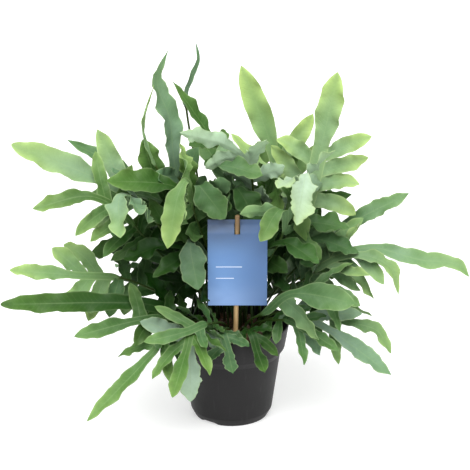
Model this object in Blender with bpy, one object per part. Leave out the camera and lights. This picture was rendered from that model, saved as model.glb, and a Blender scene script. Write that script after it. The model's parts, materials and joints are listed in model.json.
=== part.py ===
"""Golden polypody fern in a 12 cm nursery pot, with its label on a bamboo stick.

Lengths are millimetres until a mesh is made. +Z is up, -Y is the side that is seen first,
and the origin is the middle of the pot's underside.

A frond is one thin body: a stipe that stands in a socket of the rhizome, a rachis with a narrow
wing, lobes to both sides of it, and a long end lobe. Leaves never pass through each other: each
new frond turns a little, and each new lobe bends up or down, until it is clear of what is there.
"""

import bisect
import math
import random
from typing import NamedTuple

import bpy
from mathutils import Matrix, Vector
from mathutils.bvhtree import BVHTree

METRE = 0.001
UP = Vector((0, 0, 1))
VIEWER = Vector((0, -1, 0.25)).normalized()

# Pot
POT_HEIGHT = 101.0
POT_OUTSIDE = ((38.5, 0.0), (42.6, 8.0), (51.0, 69.0), (55.6, 76.0), (60.0, POT_HEIGHT))
POT_INSIDE = ((32.0, 1.6), (36.4, 3.8), (41.0, 9.0), (49.5, 69.6), (54.1, 76.6), (58.5, POT_HEIGHT))
POT_SIDES = 30
POT_FLAT_RADIUS = 33.0
FOOT_GAP_HEIGHT = 2.2
FOOT_GAP_FIRST = 19
FOOT_GAP_SIDES = 2
FEET = 3

# Soil and rhizome
SOIL_EDGE = 83.5
SOIL_TOP = 86.0
SOIL_SLOPE_WIDTH = 8.0
SEAT_GAP = 0.3
RHIZOME_RADIUS = 5.5
RHIZOME_MIDDLE = SOIL_TOP + SEAT_GAP + 0.85 * RHIZOME_RADIUS
RHIZOME_START = 200
RHIZOME_TURNS = 2.0
RHIZOME_INNER = 7.0
RHIZOME_OUTER = 43.0
RHIZOME_TURN_POWER = 0.7
RHIZOME_SPREAD_POWER = 0.8
RHIZOME_LINE_STEPS = 200
RHIZOME_SECTIONS = 32
RHIZOME_SIDES = 6
RHIZOME_END_SHARE = 0.62
RHIZOME_KNOBS = 0.05
KNOB_STEP = 2.1
SOCKETS = 60
SOCKET_HALF = 1.55
SOCKET_DEPTH = 5.0
SOCKET_STAGGER = 1.6
ABOVE_SOCKET = 6.5

# Label and its stick
STICK_RADIUS = 2.4
STICK_FOOT = Vector((3.8, -42.0, 46.0))
STICK_TOP = Vector((6.2, -42.0, 231.0))
STICK_SIDES = 10
CARD_WIDTH = 59.0
CARD_LEFT = -23.2
CARD_LOW = 137.0
CARD_HIGH = 225.5
CARD_THICK = 0.6
SLOT_LOW = 212.0
SLOT_HIGH = 221.5
SLOT_HALF = 2.9
CARD_OFFSET = STICK_RADIUS + SEAT_GAP + CARD_THICK / 2
CARD_BEND_ROWS = 6

# The card is seen from slightly above, but for its upper right corner
SIGHT_SLOPE = 0.34
SIGHT_NEAR = STICK_FOOT.y - 6.0
SIGHT_FAR = -150.0
HIDDEN_WIDTH = 14.0
HIDDEN_HEIGHT = 26.0

# Frond
STIPE_HALF = 1.15
STIPE_EDGE_HALF = 0.63
WING_HALF = 4.2
RIB_HALF = 0.75
EDGE_HALF = 0.34
APEX_RIB_HALF = 0.44
RIB_POWER = 0.6
LOBE_SHARE = 0.8
LOBE_ROOT_SHARE = 0.8
LEAST_PITCH = 6.5
PITCH_SHARE = 0.5
WING_START_PITCHES = 1.6
RUFFLE = 0.2
RUFFLE_WAVES = 3.0
SIDE_RISE = 0.16
MARGIN_POWER = 1.5
WIDEST_AT = 0.4
TAPER_POWER = 0.5
FACING_STEP = 6.0
FULL_ROWS = (4, (0.17, 0.36, 0.56, 0.76, 0.93), (0.26, 0.57, 0.87))
FEWER_ROWS = (3, (0.2, 0.45, 0.7, 0.92), (0.36, 0.8))
SPINE_STEPS = 24

# Fronds of a ring, as shares of their reach, in degrees and in millimetres
RING_STRAY = 5
RING_REACH = (0.88, 1.1)
RING_SHOULDER = 0.38
RING_NECK = 0.64
RING_LOW_CREST = 130
RING_ARCH = 24
RING_SHOULDER_RISE = 52
RING_LOBE_LENGTH = 3.5

# Ways to grow clear of what stands
CLEARANCE = 1.3
OWN_CLEARANCE = 0.65
SELF_MARGIN = 0.15
TURNS = range(-30, 31, 3)
LIFTS = range(-20, 26, 5)
TURN_COST = 1.6
FLEXES = (0.0, 0.25, -0.25, 0.5, -0.5, 0.8, -0.8, 1.2, -1.2, 1.7, -1.7)
SWINGS = (0.0, 14.0, -14.0)
SHARES = (1.0, 0.8, 0.62, 0.46)

# Colours
POT_COLOUR = (0.03, 0.029, 0.031)
SOIL_COLOUR = (0.05, 0.032, 0.02)
RHIZOME_COLOUR = (0.35, 0.16, 0.05)
STICK_COLOUR = (0.55, 0.38, 0.18)
CARD_COLOUR = (0.16, 0.27, 0.6)
OLD_LEAF = Vector((0.10, 0.25, 0.10))
YOUNG_LEAF = Vector((0.24, 0.42, 0.12))
YOUNG_FROM, YOUNG_TO = 240.0, 360.0


class Frond(NamedTuple):
    """One frond by where its rachis passes: its shoulder, the neck where the end lobe starts, and its apex.

    rows holds how finely it is cut: rows of the stipe, and marks along the end lobe and along each lobe.
    wing is half the width of the blade between the lobes, and spacing sets them apart by the width.
    """

    name: str
    shoulder: tuple
    neck: tuple
    apex: tuple
    pairs: int
    reach: float
    width: float
    sweep: float = 50.0
    face: float = 0.5
    via: tuple = ()
    blunt: float = 2.8
    rows: tuple = FULL_ROWS
    wing: float = WING_HALF
    spacing: float = PITCH_SHARE


def near_fronds():
    """The fronds that give the plant its outline from the side that is seen first."""
    return [
        Frond("low_hang", (-60, -46, 116), (-78, -69, 96), (-143, -100, 35), 1, 42, 15, 40, 0.5),
        Frond(
            "left_low", (-56, -34, 124), (-92, -50, 141), (-226, -78, 151), 2, 48, 21, 44, 0.65,
            wing=7.0,
        ),
        Frond("left_high", (-66, 2, 204), (-122, -14, 254), (-215, -30, 300), 1, 52, 25, 50, 0.7),
        Frond(
            "right_far", (80, 4, 156), (136, -12, 186), (240, -28, 161), 3, 56, 18, 52, 0.6,
            via=((192, -22, 177), (226, -26, 174)),
        ),
        Frond("right_low", (66, -34, 120), (98, -48, 112), (161, -66, 70), 2, 50, 19, 35, 0.5),
        Frond("front_small", (-8, -60, 113), (-3, -70, 98), (2, -73, 74), 1, 24, 13, 55, 0.6),
        Frond("front_right", (20, -60, 113), (26, -69, 97), (34, -71, 74), 1, 26, 13, 45, 0.6),
        Frond("blue_hang", (-38, -64, 116), (-40, -78, 104), (-41, -80, 47), 1, 44, 22, 120, 0.6),
        Frond("near_hang", (-48, -64, 120), (-58, -84, 102), (-73, -90, 56), 1, 46, 15, 40, 0.6),
        Frond("near_side", (-28, -66, 126), (-48, -80, 124), (-90, -92, 119), 1, 35, 13, 60, 0.7),
        Frond("left_near", (-58, -58, 118), (-90, -76, 108), (-146, -94, 97), 1, 38, 16, 65, 0.7),
        Frond("right_drop", (52, -52, 124), (74, -68, 120), (106, -82, 104), 1, 34, 13, 45, 0.5),
        Frond("broad_front", (32, -58, 136), (54, -78, 160), (111, -100, 156), 1, 46, 26, 60, 0.8),
        Frond("right_thumb", (72, -36, 148), (98, -50, 156), (128, -62, 143), 1, 40, 14, 45, 0.6),
        Frond(
            "right_curl", (80, -12, 122), (114, -28, 113), (162, -44, 84), 1, 42, 14, 50, 0.5,
            via=((147, -38, 107),),
        ),
        Frond(
            "right_wave", (80, -6, 156), (120, -16, 182), (170, -30, 146), 2, 42, 14, 50, 0.5,
            via=((159, -24, 175),),
        ),
        Frond("left_fork", (-98, -14, 150), (-160, -28, 163), (-222, -38, 172), 2, 48, 16, 56, 0.6),
        Frond("left_mid", (-84, -24, 198), (-133, -38, 248), (-194, -52, 241), 2, 56, 17, 55, 0.6),
        Frond("left_upper", (-62, 30, 216), (-98, 32, 248), (-167, 30, 288), 0, 0, 16, 45, 0.6, blunt=1.6),
        Frond("right_rise", (72, 22, 158), (110, 26, 192), (182, 24, 233), 2, 52, 18, 45, 0.6),
        Frond("left_broad", (-34, -8, 216), (-54, -18, 252), (-122, -40, 266), 2, 46, 26, 60, 0.6),
        Frond("bright_left", (-38, -24, 232), (-46, -46, 266), (-62, -70, 206), 1, 44, 22, 60, 0.6),
        Frond("fold_left", (-78, -8, 220), (-112, -28, 258), (-118, -64, 226), 0, 0, 22, 50, 0.3),
        Frond("pale_left", (-28, -14, 184), (-42, -36, 212), (-36, -66, 172), 1, 40, 26, 50, 0.3),
        Frond("heart_left", (-14, -8, 216), (-34, -22, 256), (-8, -44, 228), 1, 38, 27, 50, 0.3),
        Frond("card_leaf", (52, -36, 212), (48, -52, 240), (28, -72, 214), 1, 42, 18, 60, 0.4),
        Frond("card_drop", (36, -8, 222), (42, -28, 256), (56, -58, 200), 1, 44, 22, 50, 0.5),
        Frond("pale_fold", (64, 4, 230), (74, -26, 264), (67, -64, 224), 1, 46, 24, 45, 0.3),
        Frond("blue_cross", (22, 4, 246), (4, -8, 288), (-50, -30, 312), 1, 46, 19, 50, -0.6),
        Frond(
            "top_right", (70, 26, 200), (92, 36, 281), (107, 36, 357), 4, 52, 26, 62, 0.85,
            wing=8.0, spacing=0.31,
        ),
        Frond(
            "top_mid", (48, 50, 216), (44, 66, 262), (10, 74, 355), 2, 66, 25, 36, 0.8,
            wing=6.0, spacing=0.4,
        ),
        Frond(
            "top_left", (-44, 8, 226), (-57, 6, 270), (-60, 0, 391), 0, 0, 24, 35, 0.6,
            via=((-61, 4, 318), (-73, 0, 356)), blunt=1.0, wing=7.0,
        ),
        Frond(
            "thread", (-58, 2, 240), (-79, 0, 278), (-76, 0, 354), 0, 0, 7, 50, 0.4,
            via=((-88, 0, 313),), blunt=1.2,
        ),
        Frond("dark_left", (0, 36, 244), (-22, 44, 288), (-60, 45, 346), 0, 0, 18, 45, 0.2, blunt=1.3),
        Frond("left_rise", (-48, 10, 200), (-72, -2, 246), (-88, -4, 298), 1, 44, 24, 50, 0.7),
        Frond("behind_card", (16, -6, 206), (4, -14, 250), (28, -30, 214), 1, 36, 27, 50, 0.3),
        Frond("crown_fold", (0, 4, 250), (-14, -8, 286), (30, -28, 282), 1, 42, 23, 50, 0.3),
        Frond(
            "wisp", (-36, 48, 250), (-47, 60, 322), (-36, 60, 383), 0, 0, 6, 50, 0.1,
            via=((-42, 60, 344), (-34, 60, 364)), blunt=1.2,
        ),
    ]


def inner_fronds():
    """The fronds that close the heart of the plant, to both sides of the card."""
    spots = [
        ("inner_left_1", (-24, -22, 176), (-58, -38, 208), (-104, -52, 196), 22),
        ("inner_left_2", (-30, -8, 150), (-84, -14, 186), (-142, -20, 178), 24),
        ("inner_left_3", (-36, 4, 178), (-86, 0, 220), (-148, -8, 222), 22),
        ("inner_left_4", (-28, -14, 136), (-62, -26, 146), (-112, -40, 142), 17),
        ("inner_right_1", (28, -18, 170), (58, -34, 204), (98, -48, 190), 21),
        ("inner_right_2", (32, -6, 180), (72, -12, 222), (118, -18, 220), 23),
        ("inner_right_3", (44, -8, 156), (80, -16, 196), (128, -26, 186), 21),
    ]
    return [
        Frond(name, shoulder, neck, apex, 1, 50, width, 50, 0.4)
        for name, shoulder, neck, apex, width in spots
    ]


def ring_of_fronds(name, count, first, last, low, high, reach, pairs, width, seed):
    """Fronds that arch outwards in an even ring from angle first to last, apexes from height low to high."""
    draw = random.Random(seed)
    fronds = []
    for i in range(count):
        stray = draw.uniform(-RING_STRAY, RING_STRAY)
        angle = math.radians(first + (last - first) * (i + 0.5) / count + stray)
        out = Vector((math.cos(angle), math.sin(angle), 0))
        far = reach * draw.uniform(*RING_REACH)
        top = low + (high - low) * draw.random()
        crest = max(top, RING_LOW_CREST) + RING_ARCH * draw.random()
        shoulder = out * far * RING_SHOULDER + UP * (RING_SHOULDER_RISE + 0.5 * crest)
        neck = out * far * RING_NECK + UP * crest
        apex = out * far + UP * top
        wide = width * draw.uniform(*RING_REACH)
        spot = (f"{name}_{i + 1}", shoulder, neck, apex, pairs, RING_LOBE_LENGTH * wide, wide)
        fronds.append(Frond(*spot, face=0.0, rows=FEWER_ROWS))
    return fronds


def all_fronds():
    """Near fronds first, then those that close the back, the crown and the heart of the plant."""
    return (
        near_fronds()
        + inner_fronds()
        + ring_of_fronds("middle", 2, 50, 130, 170, 215, 95, 2, 25, 14)
        + ring_of_fronds("flank_right", 1, 5, 40, 170, 220, 120, 3, 21, 17)
        + ring_of_fronds("flank_left", 1, 130, 165, 160, 225, 120, 3, 21, 16)
        + ring_of_fronds("back_high", 3, 30, 150, 200, 260, 160, 3, 23, 11)
        + ring_of_fronds("back_low", 3, 20, 160, 100, 150, 170, 3, 23, 12)
    )


class Path:
    """A polyline with positions by arc length."""

    def __init__(self, points):
        self.points = points
        self.marks = [0.0]
        for a, b in zip(points, points[1:]):
            self.marks.append(self.marks[-1] + (b - a).length)
        self.length = self.marks[-1]

    def at(self, s):
        s = min(max(s, 0.0), self.length)
        k = bisect.bisect_left(self.marks, s, 1, len(self.marks) - 1) - 1
        share = (s - self.marks[k]) / max(self.marks[k + 1] - self.marks[k], 1e-9)
        return self.points[k].lerp(self.points[k + 1], share)

    def heading(self, s, step=3.0):
        return (self.at(min(s + step, self.length)) - self.at(max(s - step, 0.0))).normalized()


def hermite(a, b, start, end, u):
    """The point at share u of a cubic from a to b that leaves along start and arrives along end."""
    return (
        a * (2 * u**3 - 3 * u**2 + 1)
        + start * (u**3 - 2 * u**2 + u)
        + b * (-2 * u**3 + 3 * u**2)
        + end * (u**3 - u**2)
    )


def smooth_path(foot, knots, steps=14):
    """A smooth curve through the knots that starts with a straight upright piece from the foot."""
    headings = [UP]
    headings += [(c - a).normalized() for a, c in zip(knots, knots[2:])]
    headings.append((knots[-1] - knots[-2]).normalized())
    points = [foot, knots[0]]
    for a, b, start, end in zip(knots, knots[1:], headings, headings[1:]):
        chord = (b - a).length
        points += [hermite(a, b, start * chord, end * chord, (k + 1) / steps) for k in range(steps)]
    return Path(points)


def smooth(x):
    x = min(max(x, 0.0), 1.0)
    return x * x * (3 - 2 * x)


def strap(t, root, full, blunt=2.8):
    """Half the width of a strap-shaped lobe at share t of its length; a low blunt gives a pointed end."""
    body = root + (full - root) * smooth(t / WIDEST_AT)
    end = max(0.0, (t - WIDEST_AT) / (1 - WIDEST_AT))
    return body * max(0.0, 1 - end**blunt) ** TAPER_POWER


class Surface:
    """The middle surface of a thin body: points with a normal and half a thickness, and triangles."""

    def __init__(self):
        self.points = []
        self.normals = []
        self.halves = []
        self.triangles = []

    def copy(self):
        twin = Surface()
        twin.points, twin.normals = self.points[:], self.normals[:]
        twin.halves, twin.triangles = self.halves[:], self.triangles[:]
        return twin

    def add(self, point, normal, half):
        self.points.append(point)
        self.normals.append(normal)
        self.halves.append(half)
        return len(self.points) - 1

    def lay(self, rows):
        """Triangles over rows of vertex numbers; a row of one vertex is a tip."""
        for low, high in zip(rows, rows[1:]):
            for j in range(len(low) - 1):
                if len(high) == 1:
                    self.triangles.append((low[j], low[j + 1], high[0]))
                else:
                    self.triangles.append((low[j], low[j + 1], high[j + 1]))
                    self.triangles.append((low[j], high[j + 1], high[j]))

    def thick(self, extra=0.0):
        """(vertices, triangles) of the closed body: both faces, alike, and the rim between them."""
        count = len(self.points)
        rises = [n * (h + extra) for n, h in zip(self.normals, self.halves)]
        vertices = [p + r for p, r in zip(self.points, rises)]
        vertices += [p - r for p, r in zip(self.points, rises)]
        faces = list(self.triangles)
        faces += [(a + count, c + count, b + count) for a, b, c in self.triangles]
        edges = {(a, b) for t in self.triangles for a, b in zip(t, t[1:] + t[:1])}
        for a, b in sorted(edges):
            if (b, a) not in edges:
                faces.append((b, a, a + count))
                faces.append((b, a + count, b + count))
        return vertices, faces


def refined(marks, parts):
    """The marks with each step between them cut into equal parts."""
    out = [marks[0]]
    for a, b in zip(marks, marks[1:]):
        out += [a + (b - a) * (k + 1) / parts for k in range(parts)]
    return out


class Growth:
    """A frond worked out: its rachis, the rows of its blade and the lobes to both sides."""

    def __init__(self, frond, socket, turn, lift):
        self.frond = frond
        swing = Matrix.Rotation(math.radians(turn), 3, "Z")
        knots = [swing @ Vector(k) for k in (frond.shoulder, frond.neck, *frond.via, frond.apex)]
        for k, knot in enumerate(knots):
            knot += UP * lift * (1.0 if k else 0.4)
        outward = Vector((knots[-1].x - socket.x, knots[-1].y - socket.y, 0)).normalized()
        self.across = UP.cross(outward)
        self.path = smooth_path(socket, [socket + UP * ABOVE_SOCKET, *knots])
        self.neck = self.nearest(knots[1])
        self.pitch = max(LEAST_PITCH, frond.width * frond.spacing)
        self.lobe_half = self.pitch * LOBE_SHARE
        self.first_row = self.neck - self.steps() * self.pitch
        self.blade = self.first_row - WING_START_PITCHES * self.pitch
        self.lobes = [self.lobe(i, side) for i in range(frond.pairs) for side in (1, -1)]

    def steps(self):
        """Steps between the wing's rows: two for each lobe, those of one side a step ahead of the other's."""
        return 2 * self.frond.pairs + 1 if self.frond.pairs else 0

    def nearest(self, point):
        return min(self.path.marks, key=lambda s: (self.path.at(s) - point).length)

    def lobe(self, pair, side):
        """The lobe's own size and bearing, drawn from a seed of its name."""
        frond = self.frond
        draw = random.Random(f"{frond.name} {pair} {side}")
        rise = pair / max(frond.pairs, 1)
        return {
            "side": side,
            "row": 2 * pair + (1 if side > 0 else 0),
            "length": frond.reach * (1.0 - 0.2 * rise) * draw.uniform(0.8, 1.2),
            "angle": math.radians(frond.sweep + 12 * (0.5 - rise) + draw.uniform(-14, 14)),
            "sag": draw.uniform(0.0, 0.8),
            "hook": draw.uniform(-0.3, 0.6),
            "twist": math.radians(draw.uniform(-60, 60)),
            "wave": draw.uniform(0, 2 * math.pi),
        }

    def normal(self, s):
        """The way the upper face looks: up along the arch, turned towards the viewer by the frond's face."""
        heading = self.path.heading(s, FACING_STEP)
        face = self.frond.face
        look = heading.cross(self.across) * (1 - abs(face)) + VIEWER * face
        return (look - heading * look.dot(heading)).normalized()

    def half_width(self, s):
        """Half the width across the frond: a narrow stipe, then the wing, then the end lobe."""
        full = self.frond.width / 2
        if s >= self.neck:
            t = (s - self.neck) / (self.path.length - self.neck)
            return strap(t, min(self.frond.wing, LOBE_ROOT_SHARE * full), full, self.frond.blunt)
        share = smooth((s - self.blade) / (self.first_row - self.blade))
        return STIPE_HALF + (self.frond.wing - STIPE_HALF) * share

    def rib(self, s):
        """Half the thickness along the rachis, from the round stipe to the thin apex."""
        share = smooth((s - self.blade) / (self.path.length - self.blade))
        return STIPE_HALF + (APEX_RIB_HALF - STIPE_HALF) * share

    def rows(self):
        """Arc lengths of the rows: stipe, blade and end lobe."""
        climb = self.blade - ABOVE_SOCKET
        count, marks, _ = self.frond.rows
        stipe = [0.0] + [ABOVE_SOCKET + climb * k / count for k in range(count + 1)]
        blade = [self.first_row + k * self.pitch for k in range(self.steps() + 1)]
        end = [self.neck + t * (self.path.length - self.neck) for t in marks]
        return stipe, blade, end

    def waved(self, t, u, half, phase):
        """How far the margin stands off the blade: it is ruffled, and its sides rise a little."""
        wave = math.sin(2 * math.pi * RUFFLE_WAVES * t + phase + 0.8 * u) * smooth(t * 5)
        return abs(u) ** MARGIN_POWER * half * (RUFFLE * wave + SIDE_RISE)

    def strip_row(self, surface, s, columns):
        """One row across stipe, wing or end lobe, left to right."""
        centre, normal = self.path.at(s), self.normal(s)
        right = self.path.heading(s).cross(normal)
        half, rib = self.half_width(s), self.rib(s)
        edge = min(rib, EDGE_HALF if s > self.blade else STIPE_EDGE_HALF)
        t = max(0.0, (s - self.neck) / (self.path.length - self.neck))
        row = []
        for k in range(columns):
            u = 2 * k / (columns - 1) - 1
            lift = self.waved(t, u, half, self.neck) if s > self.neck else 0.0
            point = centre + right * half * u + normal * lift
            thick = edge + (rib - edge) * (1 - abs(u)) ** RIB_POWER
            row.append(surface.add(point, normal, thick))
        return row

    def spine(self, lobe, bend):
        """(point, heading, normal) along a lobe's midrib, for a bend of (flex, swing, share of length)."""
        flex, swing, share = bend
        angle = lobe["angle"] + math.radians(swing)
        s = self.first_row + (lobe["row"] + 1) * self.pitch
        heading, normal = self.path.heading(s), self.normal(s)
        right = heading.cross(normal)
        point = self.path.at(s) + right * self.frond.wing * lobe["side"]
        out = heading * math.cos(angle) + right * lobe["side"] * math.sin(angle)
        step = lobe["length"] * share / SPINE_STEPS
        spine = []
        for k in range(SPINE_STEPS + 1):
            t = k / SPINE_STEPS
            way = (out + (heading * lobe["hook"] + normal * flex - UP * lobe["sag"]) * t).normalized()
            facing = (normal - way * normal.dot(way)).normalized()
            facing = Matrix.Rotation(lobe["twist"] * t, 3, way) @ facing
            spine.append((point.copy(), way, facing))
            point += way * step
        return spine

    def lobe_row(self, surface, lobe, spine, t, columns, root):
        """One row across a lobe, left to right, eased out of the root's own line."""
        k = min(int(t * SPINE_STEPS), SPINE_STEPS - 1)
        share = t * SPINE_STEPS - k
        centre = spine[k][0].lerp(spine[k + 1][0], share)
        way = spine[k][1].lerp(spine[k + 1][1], share).normalized()
        normal = spine[k][2].lerp(spine[k + 1][2], share).normalized()
        right = way.cross(normal)
        half = strap(t, self.lobe_half * LOBE_ROOT_SHARE, self.lobe_half)
        middle = root[len(root) // 2]
        free = smooth(t / self.frond.rows[2][0])
        row = []
        for j in range(columns):
            u = 2 * j / (columns - 1) - 1
            offset = (root[j] - middle).lerp(right * half * u, free)
            lift = self.waved(t, u, half, lobe["wave"])
            thick = EDGE_HALF + (RIB_HALF - EDGE_HALF) * (1 - t) * (1 - abs(u)) ** RIB_POWER
            row.append(surface.add(centre + offset + normal * lift, normal, thick))
        return row

    def root_of(self, lobe, edges, parts):
        """The vertex numbers of a lobe's root along the wing's edge, left to right as the lobe points."""
        first = lobe["row"] * parts
        root = edges[first : first + 2 * parts + 1]
        return root[::-1] if lobe["side"] > 0 else root

    def stem_surface(self, parts=1):
        """Stipe, wing and end lobe, with the vertex numbers of the wing's two edges."""
        surface = Surface()
        stipe, blade, end = self.rows()
        columns = 2 * parts + 1
        marks = refined([*stipe, *blade, *end], parts)
        rows = [self.strip_row(surface, s, columns) for s in marks]
        tip = surface.add(self.path.at(self.path.length), self.normal(self.path.length), EDGE_HALF)
        surface.lay([*rows, [tip]])
        start = len(stipe) * parts
        wing = rows[start : start + self.steps() * parts + 1]
        return surface, {-1: [r[0] for r in wing], 1: [r[-1] for r in wing]}

    def add_lobe(self, surface, edges, lobe, bend, parts=1):
        """Adds a lobe to the surface, and returns its rows of vertex numbers, root and tip included."""
        root = self.root_of(lobe, edges[lobe["side"]], parts)
        line = [surface.points[i] for i in root]
        spine = self.spine(lobe, bend)
        marks = refined([0.0, *self.frond.rows[2]], parts)[1:]
        rows = [self.lobe_row(surface, lobe, spine, t, len(root), line) for t in marks]
        tip = surface.add(spine[-1][0], spine[-1][2], EDGE_HALF)
        rows = [root, *rows, [tip]]
        surface.lay(rows)
        return rows


def part_of(surface, rows, extra):
    """The closed body of some rows of a surface, made thicker by extra on each face."""
    piece = Surface()
    number = {}
    for row in rows:
        for i in row:
            number[i] = piece.add(surface.points[i], surface.normals[i], surface.halves[i])
    piece.lay([[number[i] for i in row] for row in rows])
    return piece.thick(extra)


class Crowd:
    """What already stands, for finding whether something new would touch it."""

    def __init__(self):
        self.standing = []

    @staticmethod
    def box(points):
        return [(min(p[i] for p in points), max(p[i] for p in points)) for i in range(3)]

    def add(self, points, faces):
        self.standing.append((self.box(points), BVHTree.FromPolygons(points, faces)))

    def meets(self, points, faces):
        box = self.box(points)
        tree = BVHTree.FromPolygons(points, faces)
        for other, standing in self.standing:
            apart = any(a[0] > b[1] or b[0] > a[1] for a, b in zip(box, other))
            if not apart and tree.overlap(standing):
                return True
        return False


def nudges():
    """Turns round the pot in degrees, with lifts in millimetres, the smallest first."""
    steps = [(turn, lift) for turn in TURNS for lift in LIFTS]
    return sorted(steps, key=lambda n: (abs(n[0]) * TURN_COST + abs(n[1]), n))


def grow(frond, socket, crowd):
    """The frond's closed body, clear of what stands there; a lobe that finds no room is left out."""
    growth, surface, edges, rows = stem_with_room(frond, socket, crowd)
    own = Crowd()
    own.add(*part_of(surface, rows, 0.0))
    for lobe in growth.lobes:
        bend = next((b for b in bends() if clear(growth, surface, edges, lobe, b, crowd, own)), None)
        if bend:
            rows = growth.add_lobe(surface, edges, lobe, bend)
            own.add(*part_of(surface, rows[1:], 0.0))
    return surface.thick()


def stem_with_room(frond, socket, crowd):
    """(growth, surface, wing edges, free rows) of the first stem clear of the crowd and of itself."""
    for turn, lift in nudges():
        growth = Growth(frond, socket, turn, lift)
        surface, edges = growth.stem_surface()
        tip = len(surface.points) - 1
        rows = [[3 * k, 3 * k + 1, 3 * k + 2] for k in range(1, tip // 3)] + [[tip]]
        if crosses_itself(*surface.thick(SELF_MARGIN)):
            continue
        if not crowd.meets(*part_of(surface, rows, CLEARANCE)):
            return growth, surface, edges, rows
    raise ValueError(f"{frond.name} finds no clear way")


def bends():
    """Ways to bend a lobe, the whole lobe first: (flex, swing, share of its length)."""
    return [(flex, swing, share) for share in SHARES for flex in FLEXES for swing in SWINGS]


def clear(growth, surface, edges, lobe, bend, crowd, own):
    """Whether a lobe bent this way touches neither its neighbours nor the rest of its own frond."""
    trial = surface.copy()
    rows = growth.add_lobe(trial, edges, lobe, bend)
    if crowd.meets(*part_of(trial, rows, CLEARANCE)):
        return False
    if own.meets(*part_of(trial, rows[1:], OWN_CLEARANCE)):
        return False
    return not crosses_itself(*trial.thick(SELF_MARGIN))


def crosses_itself(vertices, faces):
    """Whether two triangles that share no corner cut each other."""
    tree = BVHTree.FromPolygons(vertices, faces)
    return any(not set(faces[a]) & set(faces[b]) for a, b in tree.overlap(tree))


def new_object(name, vertices, faces, colour, roughness, rounded=True):
    """A mesh object from millimetre points, with its own plain material."""
    mesh = bpy.data.meshes.new(name)
    mesh.from_pydata([Vector(v) * METRE for v in vertices], [], faces)
    mesh.update()
    if rounded:
        mesh.shade_smooth()
        mesh.set_sharp_from_angle(angle=math.radians(40))
    material = bpy.data.materials.new(name)
    material.use_nodes = True
    shader = material.node_tree.nodes["Principled BSDF"]
    shader.inputs["Base Color"].default_value = (*colour, 1)
    shader.inputs["Roughness"].default_value = roughness
    shader.inputs["Metallic"].default_value = 0.0
    mesh.materials.append(material)
    obj = bpy.data.objects.new(name, mesh)
    bpy.context.scene.collection.objects.link(obj)
    return obj


def turned(profile, sides, height_of=None):
    """(vertices, faces) of a body turned from a profile that starts and ends on the axis."""
    vertices = [(0, 0, profile[0][1])]
    for r, z in profile[1:-1]:
        for k in range(sides):
            angle = 2 * math.pi * k / sides
            height = height_of(z, r, k) if height_of else z
            vertices.append((r * math.cos(angle), r * math.sin(angle), height))
    vertices.append((0, 0, profile[-1][1]))
    rings = len(profile) - 2
    first = [tuple(1 + k for k in reversed(range(sides)))]
    last = [tuple(1 + (rings - 1) * sides + k for k in range(sides))]
    faces = first + last
    for ring in range(rings - 1):
        for k in range(sides):
            a, b = 1 + ring * sides + k, 1 + ring * sides + (k + 1) % sides
            faces.append((a, b, b + sides, a + sides))
    used = sorted({i for face in faces for i in face})
    number = {i: n for n, i in enumerate(used)}
    return [vertices[i] for i in used], [tuple(number[i] for i in face) for face in faces]


def make_pot():
    """A tapered shell with a deep plain rim, a flat floor to stand on and gaps between its feet for water."""
    profile = [(0, 0), (POT_FLAT_RADIUS, 0), *POT_OUTSIDE, *reversed(POT_INSIDE), (0, POT_INSIDE[0][1])]

    def foot(z, r, k):
        in_gap = (k - FOOT_GAP_FIRST) % (POT_SIDES // FEET) < FOOT_GAP_SIDES
        return FOOT_GAP_HEIGHT if z == 0 and r > POT_FLAT_RADIUS and in_gap else z

    return new_object("pot", *turned(profile, POT_SIDES, foot), POT_COLOUR, 0.45)


def pot_inside(z):
    """The pot's inner radius at a height."""
    for (r0, z0), (r1, z1) in zip(POT_INSIDE, POT_INSIDE[1:]):
        if z <= z1:
            return r0 + (r1 - r0) * (z - z0) / (z1 - z0)


def make_soil():
    """The root ball: it fills the pot up to below the rim, with a plain hole for the stick."""
    side = [(r - SEAT_GAP, z + SEAT_GAP) for r, z in POT_INSIDE[:-1]]
    edge = (pot_inside(SOIL_EDGE) - SEAT_GAP, SOIL_EDGE)
    profile = [(0, side[0][1]), *side, edge, (edge[0] - SOIL_SLOPE_WIDTH, SOIL_TOP), (0, SOIL_TOP)]
    soil = new_object("soil", *turned(profile, POT_SIDES), SOIL_COLOUR, 0.95)
    hole = rod(STICK_FOOT - UP * SEAT_GAP, STICK_TOP, STICK_RADIUS + SEAT_GAP, STICK_SIDES)
    cut(soil, [hole], "EXACT")
    return soil


def rod(foot, top, radius, sides):
    """(vertices, faces) of a straight round rod between two points."""
    way = (top - foot).normalized()
    right = way.cross(Vector((0, 1, 0))).normalized()
    front = way.cross(right)
    vertices = []
    for end in (foot, top):
        for k in range(sides):
            angle = 2 * math.pi * k / sides
            vertices.append(end + (right * math.cos(angle) + front * math.sin(angle)) * radius)
    faces = [tuple(reversed(range(sides))), tuple(range(sides, 2 * sides))]
    faces += [(k, (k + 1) % sides, (k + 1) % sides + sides, k + sides) for k in range(sides)]
    return vertices, faces


def cut(obj, bodies, solver):
    """Cuts closed bodies, clear of each other, out of an object."""
    vertices, faces = [], []
    for points, polygons in bodies:
        faces += [tuple(i + len(vertices) for i in polygon) for polygon in polygons]
        vertices += points
    cutter = new_object(f"{obj.name}_cutter", vertices, faces, (1, 1, 1), 1.0, rounded=False)
    cutter.hide_render = True
    cutter.display_type = "WIRE"
    modifier = obj.modifiers.new("holes", "BOOLEAN")
    modifier.operation = "DIFFERENCE"
    modifier.solver = solver
    modifier.object = cutter


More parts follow.
